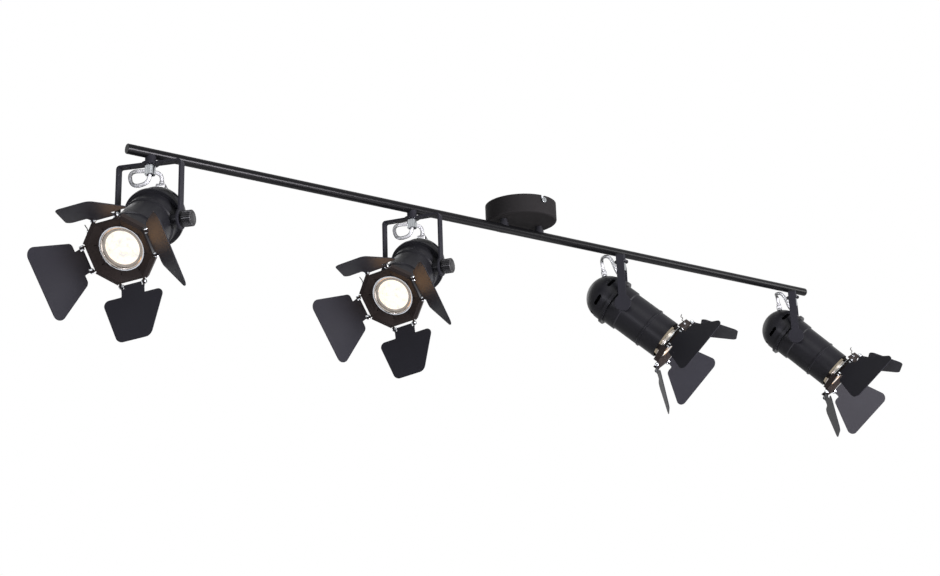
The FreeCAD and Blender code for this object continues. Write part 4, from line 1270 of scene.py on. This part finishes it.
@dataclass
class CoatedParts:
    """CAD parts whose edges are rounded, as a coat or a plate rounds them."""

    edge: float = 0.3
    tube_edge: float = 0.4
    fold_edge: float = 0.2

    def soften(self, node: str, name: str, body: str, finish: Finish, slot: Slot, width: float) -> None:
        """Replaces one CAD node by its copy with rounded edges.

        Args:
            node: the CAD node.
            name: the new piece's name.
            body: the body that it rides on.
            finish: what it is finished with.
            slot: the record's material slot.
            width: the rounding in millimetres.
        """
        made = softened_copy(node, name, width)
        paint(made, finish)
        attach(made, body, slot, node)

    def build_ceiling_bar(self) -> None:
        """Rounds the canopy, bracket, sleeves, nuts, side screws, terminal block and posts."""
        body = "ceiling_bar"
        self.soften("canopy_cup", "canopy_shell", body, CANOPY_COAT, Slot.BLACK_COAT, self.edge)
        self.soften("ceiling_bracket", "bracket_strip", body, ZINC, Slot.ZINC_STEEL,
                    self.fold_edge)
        self.soften("swivel_sleeves", "saddle_sleeves", body, BLACK_COAT, Slot.BLACK_COAT, self.edge)
        self.soften("swivel_nuts", "fluted_nuts", body, CHROME, Slot.CHROME, self.edge)
        self.soften("canopy_side_screws", "cup_screws", body, CHROME, Slot.CHROME, self.edge)
        self.soften("terminal_block", "terminal_body", body, POLYAMIDE, Slot.TERMINAL_PLASTIC, self.edge)
        self.soften("standoff_posts", "ringed_posts", body, POST_COAT, Slot.POST_STEEL, self.edge)

    def build_head(self, number: int) -> None:
        """Rounds one head's yoke, housing, dome, front frame and leaves.

        Args:
            number: the head's number, from 1 on the left.
        """
        coat = (BLACK_COAT, Slot.BLACK_COAT)
        shell = (HEAD_COAT, Slot.BLACK_COAT)
        self.soften(f"yoke_{number}", f"yoke_stirrup_{number}", f"yoke_{number}", *coat, self.tube_edge)
        self.soften(f"lamp_housing_{number}", f"stepped_tube_{number}", f"head_{number}", *shell,
                    self.tube_edge)
        self.soften(f"rear_dome_{number}", f"vented_dome_{number}", f"head_{number}", *shell, self.edge)
        self.soften(f"front_frame_{number}", f"folded_frame_{number}", f"frame_{number}",
                    LAMP_WARMED_FRAME_COAT, Slot.BLACK_COAT, self.fold_edge)
        for side in Side:
            node = f"leaf_{side.value}_{number}"
            self.soften(node, f"{side.value}_leaf_sheet_{number}", node, *coat, self.edge)


@dataclass
class TiltKnob:
    """The ribbed clamp knob on a head's own left, with its collar and stud."""

    face: float = 39.8
    radius: float = 9.4
    length: float = 11.0
    ribs: int = 24
    rib_depth: float = 0.75
    rib_facets: int = 8
    edge_round: float = 1.1
    collar_radius: float = 6.0
    collar_length: float = 3.0
    stud_radius: float = 3.0
    stud_end: float = 31.0
    shapes: dict[str, bpy.types.Mesh] = field(init=False)

    def __post_init__(self) -> None:
        """Makes the local shapes, with Z along the head's left."""
        grip = FlutedTurning(self.radius, self.length, flutes=self.ribs, flute_depth=self.rib_depth,
                             edge_round=self.edge_round, around=self.ribs * self.rib_facets)
        dish = [(0.0, 0.25), (5.6, 0.25), (6.2, 0.0), (6.9, 0.0), (7.1, -0.4), (0.0, -0.4)]
        collar = [(0.0, 0.0), (self.collar_radius - 0.4, 0.0), (self.collar_radius, 0.4),
                  (self.collar_radius, self.collar_length + 0.2), (0.0, self.collar_length + 0.2)]
        stud = [(0.0, 0.0), (self.stud_radius - 0.5, 0.0), (self.stud_radius, 0.5),
                (self.stud_radius, self.face - self.stud_end + 0.5), (0.0, self.face - self.stud_end + 0.5)]
        self.shapes = {
            "knob_grip": grip.mesh("knob_grip", KNOB_PHENOLIC),
            "knob_cap": revolved("knob_cap", dish, 64),
            "knob_collar": revolved("knob_collar", collar, 64),
            "knob_stud": revolved("knob_stud", stud, 40),
        }

    def build(self, frames: HeadFrames) -> None:
        """Makes one head's knob.

        Args:
            frames: where the head's pieces are.
        """
        aimed = frames.head @ Matrix.Rotation(math.radians(90.0), 4, "Y")
        grip_start = self.face + self.collar_length
        heights = {"knob_grip": grip_start, "knob_cap": grip_start + self.length,
                   "knob_collar": self.face, "knob_stud": self.stud_end}
        finishes = {"knob_collar": KNOB_PHENOLIC, "knob_stud": CHROME}
        for label, height in heights.items():
            there = aimed @ Matrix.Translation((0.0, 0.0, height * MILLIMETRE))
            made = place_piece(f"{label}_{frames.number}", self.shapes[label], there,
                               finishes.get(label, KNOB_PHENOLIC))
            nodes = (f"tilt_knob_{frames.number}",) if label == "knob_grip" else ()
            slot = Slot.CHROME if label == "knob_stud" else Slot.KNOB_PLASTIC
            attach(made, f"knob_{frames.number}", slot, *nodes)


@dataclass
class HingeScrews:
    """Slotted pivot screws with hexagon nuts at the eight ears of a front frame."""

    offset: float = 39.2
    forward: float = 87.2
    ear_outside: float = 15.0
    head_radius: float = 2.5
    head_height: float = 1.6
    head_round: float = 0.75
    slot_width: float = 0.7
    slot_depth: float = 0.6
    shank_radius: float = 1.25
    nut_face: float = 12.8
    nut_height: float = 1.6
    nut_radius: float = 2.3
    local: bpy.types.Mesh = field(init=False)

    def __post_init__(self) -> None:
        """Makes one screw and sets it at every ear of a frame."""
        head = FlutedTurning(
            self.head_radius, self.head_height, edge_round=self.head_round, slot_width=self.slot_width,
            slot_depth=self.slot_depth, around=40, rings=8).mesh("screw_head", CHROME)
        back = self.nut_face - self.nut_height - self.ear_outside
        shank = revolved("screw_shank", [
            (0.0, back - 0.6), (self.shank_radius - 0.3, back - 0.6), (self.shank_radius, back - 0.2),
            (self.shank_radius, 0.2), (0.0, 0.2)], 24)
        nut = revolved("screw_nut", [
            (self.shank_radius, back), (self.nut_radius - 0.2, back), (self.nut_radius, back + 0.2),
            (self.nut_radius, back + self.nut_height - 0.2), (self.nut_radius - 0.2, back + self.nut_height),
            (self.shank_radius, back + self.nut_height)], 6, ring=True)
        screw = joined("pivot_screw", [head, shank, nut])
        spots = []
        for quarter in range(4):
            turn = Matrix.Rotation(math.radians(90.0 * quarter), 3, "Z")
            for side in (-1.0, 1.0):
                spot = Vector((side * self.ear_outside, self.offset, self.forward))
                spots.append((turn @ spot, turn @ Vector((side, 0.0, 0.0))))
        self.local = PlacedCopies(5).mesh("pivot_screws", screw, spots, CHROME)

    def build(self, frames: HeadFrames) -> None:
        """Puts one head's eight screws in place.

        Args:
            frames: where the head's pieces are.
        """
        number = frames.number
        made = place_piece(f"pivot_screws_{number}", self.local, frames.front, CHROME)
        attach(made, f"frame_{number}", Slot.CHROME, f"hinge_screws_{number}")


# ---------------------------------------------------------------- lamp


@dataclass
class Lamp:
    """A 50 mm reflector lamp: lit pebbled front, bright rim, facetted bowl and ceramic neck."""

    face: float = 79.0
    radius: float = 25.0
    rim_height: float = 5.0
    front_radius: float = 22.4
    ridge_start: float = 19.6
    ridges: int = 3
    ridge_height: float = 0.45
    bulge: float = 1.1
    neck_radius: float = 11.0
    base_back: float = 32.0
    neck_front: float = 44.0
    pin_radius: float = 2.4
    pin_spacing: float = 10.0
    pin_length: float = 7.0
    bowl_facets: int = 30
    shapes: dict[str, bpy.types.Mesh] = field(init=False)

    def __post_init__(self) -> None:
        """Makes the local shapes, with Z forwards."""
        self.shapes = {
            "lamp_front": self.front_mesh(),
            "lamp_rim": self.rim_mesh(),
            "lamp_bowl": self.bowl_mesh(),
            "lamp_neck": self.neck_mesh(),
        }

    def front_mesh(self) -> bpy.types.Mesh:
        """Makes the front glass: a shallow bulge inside raised rings, with its radius kept for the glow.

        Returns:
            The mesh.
        """
        back = self.face - self.rim_height + 0.4
        level = self.face - 2.0
        steps = 8 * self.ridges
        outline = [(0.0, back), (self.front_radius, back), (self.front_radius, level)]
        for k in range(steps + 1):
            share = k / steps
            radius = self.front_radius - 0.2 - share * (self.front_radius - 0.2 - self.ridge_start)
            wave = 0.5 - 0.5 * math.cos(2.0 * math.pi * self.ridges * share)
            outline.append((radius, level + self.ridge_height * wave))
        for k in range(1, 13):
            share = 1.0 - k / 12.0
            outline.append((self.ridge_start * share, level + self.bulge * (1.0 - share ** 2)))
        mesh = revolved("lamp_front", outline, 96)
        share = mesh.attributes.new("radius_share", "FLOAT", "POINT")
        share.data.foreach_set("value", [math.hypot(v.co.x, v.co.y) / self.radius for v in mesh.vertices])
        return mesh

    def rim_mesh(self) -> bpy.types.Mesh:
        """Makes the rolled metal rim that holds the front glass.

        Returns:
            The mesh.
        """
        back = self.face - self.rim_height
        inner = self.front_radius + 0.05
        return revolved("lamp_rim", [
            (inner, back + 0.2), (self.radius - 1.4, back), (self.radius - 0.7, back + 0.1),
            (self.radius - 0.1, back + 0.7), (self.radius, back + 1.2), (self.radius - 0.25, back + 1.9),
            (self.radius - 0.25, back + 2.6), (self.radius, back + 3.3), (self.radius, self.face - 0.9),
            (self.radius - 0.35, self.face - 0.25), (self.radius - 1.1, self.face),
            (self.radius - 1.9, self.face - 0.15), (inner, self.face - 0.8)], 96, ring=True)

    def bowl_mesh(self) -> bpy.types.Mesh:
        """Makes the reflector bowl behind the rim, with flat facets round it and along it.

        Returns:
            The mesh.
        """
        front = self.face - self.rim_height + 0.3
        mesh = revolved("lamp_bowl", [
            (0.0, self.neck_front - 0.5), (self.neck_radius - 0.4, self.neck_front - 0.5), (14.6, 50.0),
            (17.6, 56.0), (19.9, 61.5), (21.6, 66.5), (22.8, 70.5), (23.5, front), (0.0, front)],
            self.bowl_facets)
        mesh.shade_flat()
        return mesh

    def neck_mesh(self) -> bpy.types.Mesh:
        """Makes the ceramic neck with its two contact pins.

        Returns:
            The mesh.
        """
        back = self.base_back
        neck = revolved("neck", [
            (0.0, back), (self.neck_radius - 1.5, back), (self.neck_radius, back + 2.0),
            (self.neck_radius, self.neck_front), (0.0, self.neck_front)], 64)
        parts = [neck]
        for side in (-1.0, 1.0):
            pin = revolved("pin", [
                (0.0, back - self.pin_length), (self.pin_radius - 0.5, back - self.pin_length),
                (self.pin_radius, back - self.pin_length + 0.5), (self.pin_radius, back - 5.0),
                (self.pin_radius - 0.8, back - 4.5), (self.pin_radius - 0.8, back + 0.5),
                (0.0, back + 0.5)], 24)
            pin.transform(Matrix.Translation((side * self.pin_spacing / 2.0, 0.0, 0.0)))
            parts.append(pin)
        return joined("lamp_neck", parts)

    def build(self, frames: HeadFrames) -> None:
        """Makes one head's lamp.

        Args:
            frames: where the head's pieces are.
        """
        finishes = {"lamp_front": LAMP_FRONT, "lamp_rim": RIM_METAL, "lamp_bowl": LAMP_BOWL,
                    "lamp_neck": STEATITE}
        slots = {"lamp_front": Slot.LAMP_GLASS, "lamp_rim": Slot.CHROME, "lamp_bowl": Slot.LAMP_GLASS,
                 "lamp_neck": Slot.CERAMIC}
        for label, shape in self.shapes.items():
            made = place_piece(f"{label}_{frames.number}", shape, frames.head, finishes[label])
            nodes = (f"lamp_{frames.number}",) if label == "lamp_front" else ()
            attach(made, f"head_{frames.number}", slots[label], *nodes)


@dataclass
class LampRetainer:
    """The flat spring ring behind a front frame, with its wavy wire end held by a rivet."""

    inner: float = 24.3
    outer: float = 30.6
    back: float = 79.7
    thickness: float = 0.5
    skirt_apothem: float = 38.6
    rivet_forward: float = 83.0
    rivet_radius: float = 2.1
    rivet_height: float = 1.5
    wire_radius: float = 0.55
    wire_sides: int = 12
    wire_pull: float = 1.6
    wire: tuple[tuple[float, float, float], ...] = (
        (39.4, 0.0, 83.0),
        (41.2, 0.0, 80.5),
        (40.6, 1.6, 77.5),
        (44.2, -1.6, 77.0),
        (44.0, 1.6, 73.5),
        (47.6, -0.6, 73.0),
    )
    diagonal: float = 135.0
    shapes: dict[str, bpy.types.Mesh] = field(init=False)

    def __post_init__(self) -> None:
        """Makes the local shapes, with Z along the frame's axis."""
        front = self.back + self.thickness
        ring = revolved("retaining_ring", [
            (self.inner, self.back), (self.outer, self.back), (self.outer, front), (self.inner, front)],
            96, ring=True)
        turn = Matrix.Rotation(math.radians(self.diagonal), 4, "Z")
        line = smooth_line("wire_line", [turn @ Vector(point) for point in self.wire], self.wire_pull)
        rivet = revolved("rivet_head", [
            (0.0, -0.3), (self.rivet_radius, -0.3), (self.rivet_radius, 0.2),
            (self.rivet_radius * 0.86, self.rivet_height * 0.62),
            (self.rivet_radius * 0.5, self.rivet_height * 0.92),
            (0.0, self.rivet_height)], 32)
        seat = Matrix.Translation((self.skirt_apothem, 0.0, self.rivet_forward))
        rivet.transform(turn @ seat @ Matrix.Rotation(math.radians(90.0), 4, "Y"))
        self.shapes = {
            "retaining_ring": ring,
            "retaining_wire": tube_along("retaining_wire", line, self.wire_radius, self.wire_sides),
            "wire_rivet": rivet,
        }

    def build(self, frames: HeadFrames) -> None:
        """Makes one head's retaining ring, wire end and rivet.

        Args:
            frames: where the head's pieces are.
        """
        finishes = {"retaining_ring": CHROME, "retaining_wire": SPRING_STEEL, "wire_rivet": CHROME}
        for label, shape in self.shapes.items():
            made = place_piece(f"{label}_{frames.number}", shape, frames.front, finishes[label])
            attach(made, f"frame_{frames.number}", Slot.CHROME)


# ---------------------------------------------------------------- cable grip


@dataclass
class CableGrip:
    """The moulded clear grip where the cable enters the dome, held by two dark screws."""

    cable: LampCable
    width: float = 11.6
    depth: float = 8.0
    height: float = 8.0
    sink: float = 0.4
    corner: float = 1.5
    ear_radius: float = 3.2
    ear_height: float = 2.4
    collar_radius: float = 3.3
    collar_height: float = 4.0
    collar_fit: float = 0.02
    screw_radius: float = 1.9
    screw_height: float = 1.3
    screw_out: float = 0.9
    shapes: dict[str, bpy.types.Mesh] = field(init=False)

    def __post_init__(self) -> None:
        """Makes the local shapes, with Z out of the dome and the origin at the dome's centre."""
        base = self.cable.dome_radius / MILLIMETRE - self.sink
        top = base + self.height + self.sink
        work = bmesh.new()
        bmesh.ops.create_cube(work, size=1.0)
        bmesh.ops.scale(work, vec=(self.width, self.depth, top - base), verts=work.verts)
        bmesh.ops.translate(work, vec=(0.0, 0.0, (base + top) / 2.0), verts=work.verts)
        bmesh.ops.bevel(work, geom=work.edges, offset=self.corner, segments=4, profile=0.5, affect="EDGES")
        parts = [finished_mesh(work, "grip_block")]
        parts.append(revolved("grip_collar", [
            (self.cable.radius + self.collar_fit, top - 1.0), (self.collar_radius, top - 1.0),
            (self.collar_radius - 0.3, top + self.collar_height - 0.5),
            (self.collar_radius - 0.6, top + self.collar_height),
            (self.cable.radius + self.collar_fit, top + self.collar_height)], 40, ring=True))
        spots = []
        for side in (-1.0, 1.0):
            ear = revolved("grip_ear", [
                (0.0, base), (self.ear_radius, base), (self.ear_radius, base + self.ear_height - 0.4),
                (self.ear_radius - 0.4, base + self.ear_height), (0.0, base + self.ear_height)], 40)
            ear.transform(Matrix.Translation((side * self.width / 2.0, 0.0, 0.0)))
            parts.append(ear)
            seat = Vector((side * (self.width / 2.0 + self.screw_out), 0.0, base + self.ear_height - 0.2))
            spots.append((seat, Vector((0.0, 0.0, 1.0))))
        head = FlutedTurning(
            self.screw_radius, self.screw_height, slot_width=0.6, slot_depth=0.5,
            around=32, rings=6).mesh("grip_screw", BLACK_OXIDE)
        self.shapes = {
            "cable_grip": joined("cable_grip", parts),
            "grip_screws": PlacedCopies(11).mesh("grip_screws", head, spots, BLACK_OXIDE),
        }

    def build(self, frames: HeadFrames) -> None:
        """Makes one head's grip and its screws.

        Args:
            frames: where the head's pieces are.
        """
        centre = Matrix.Translation((0.0, 0.0, self.cable.dome_centre))
        there = frames.head @ centre @ self.cable.grip_turn()
        body = f"head_{frames.number}"
        grip = place_piece(f"cable_grip_{frames.number}", self.shapes["cable_grip"], there, CLEAR_PVC)
        attach(grip, body, Slot.CLEAR_PVC)
        screws = place_piece(f"grip_screws_{frames.number}", self.shapes["grip_screws"], there, BLACK_OXIDE)
        attach(screws, body, Slot.CHROME)


def main() -> None:
    """Builds and dresses every piece."""
    logging.basicConfig(level=logging.INFO, format="%(message)s")
    bpy.context.scene.view_settings.view_transform = "Standard"
    Viewpoint().build()
    Studio().build()
    for node, made in frame["nodes"].items():
        stem = node.rsplit("_", 1)[0] if node[-1].isdigit() else node
        paint(made, NODE_FINISHES.get(stem, BLACK_COAT))
    coated = CoatedParts()
    coated.build_ceiling_bar()
    knob = TiltKnob()
    screws = HingeScrews()
    lamp = Lamp()
    cable = LampCable()
    grip = CableGrip(cable)
    retainer = LampRetainer()
    for number in HEAD_NUMBERS:
        frames = HeadFrames(number)
        cable.build(frames)
        grip.build(frames)
        coated.build_head(number)
        knob.build(frames)
        screws.build(frames)
        lamp.build(frames)
        retainer.build(frames)


if __name__ == "__main__":
    main()
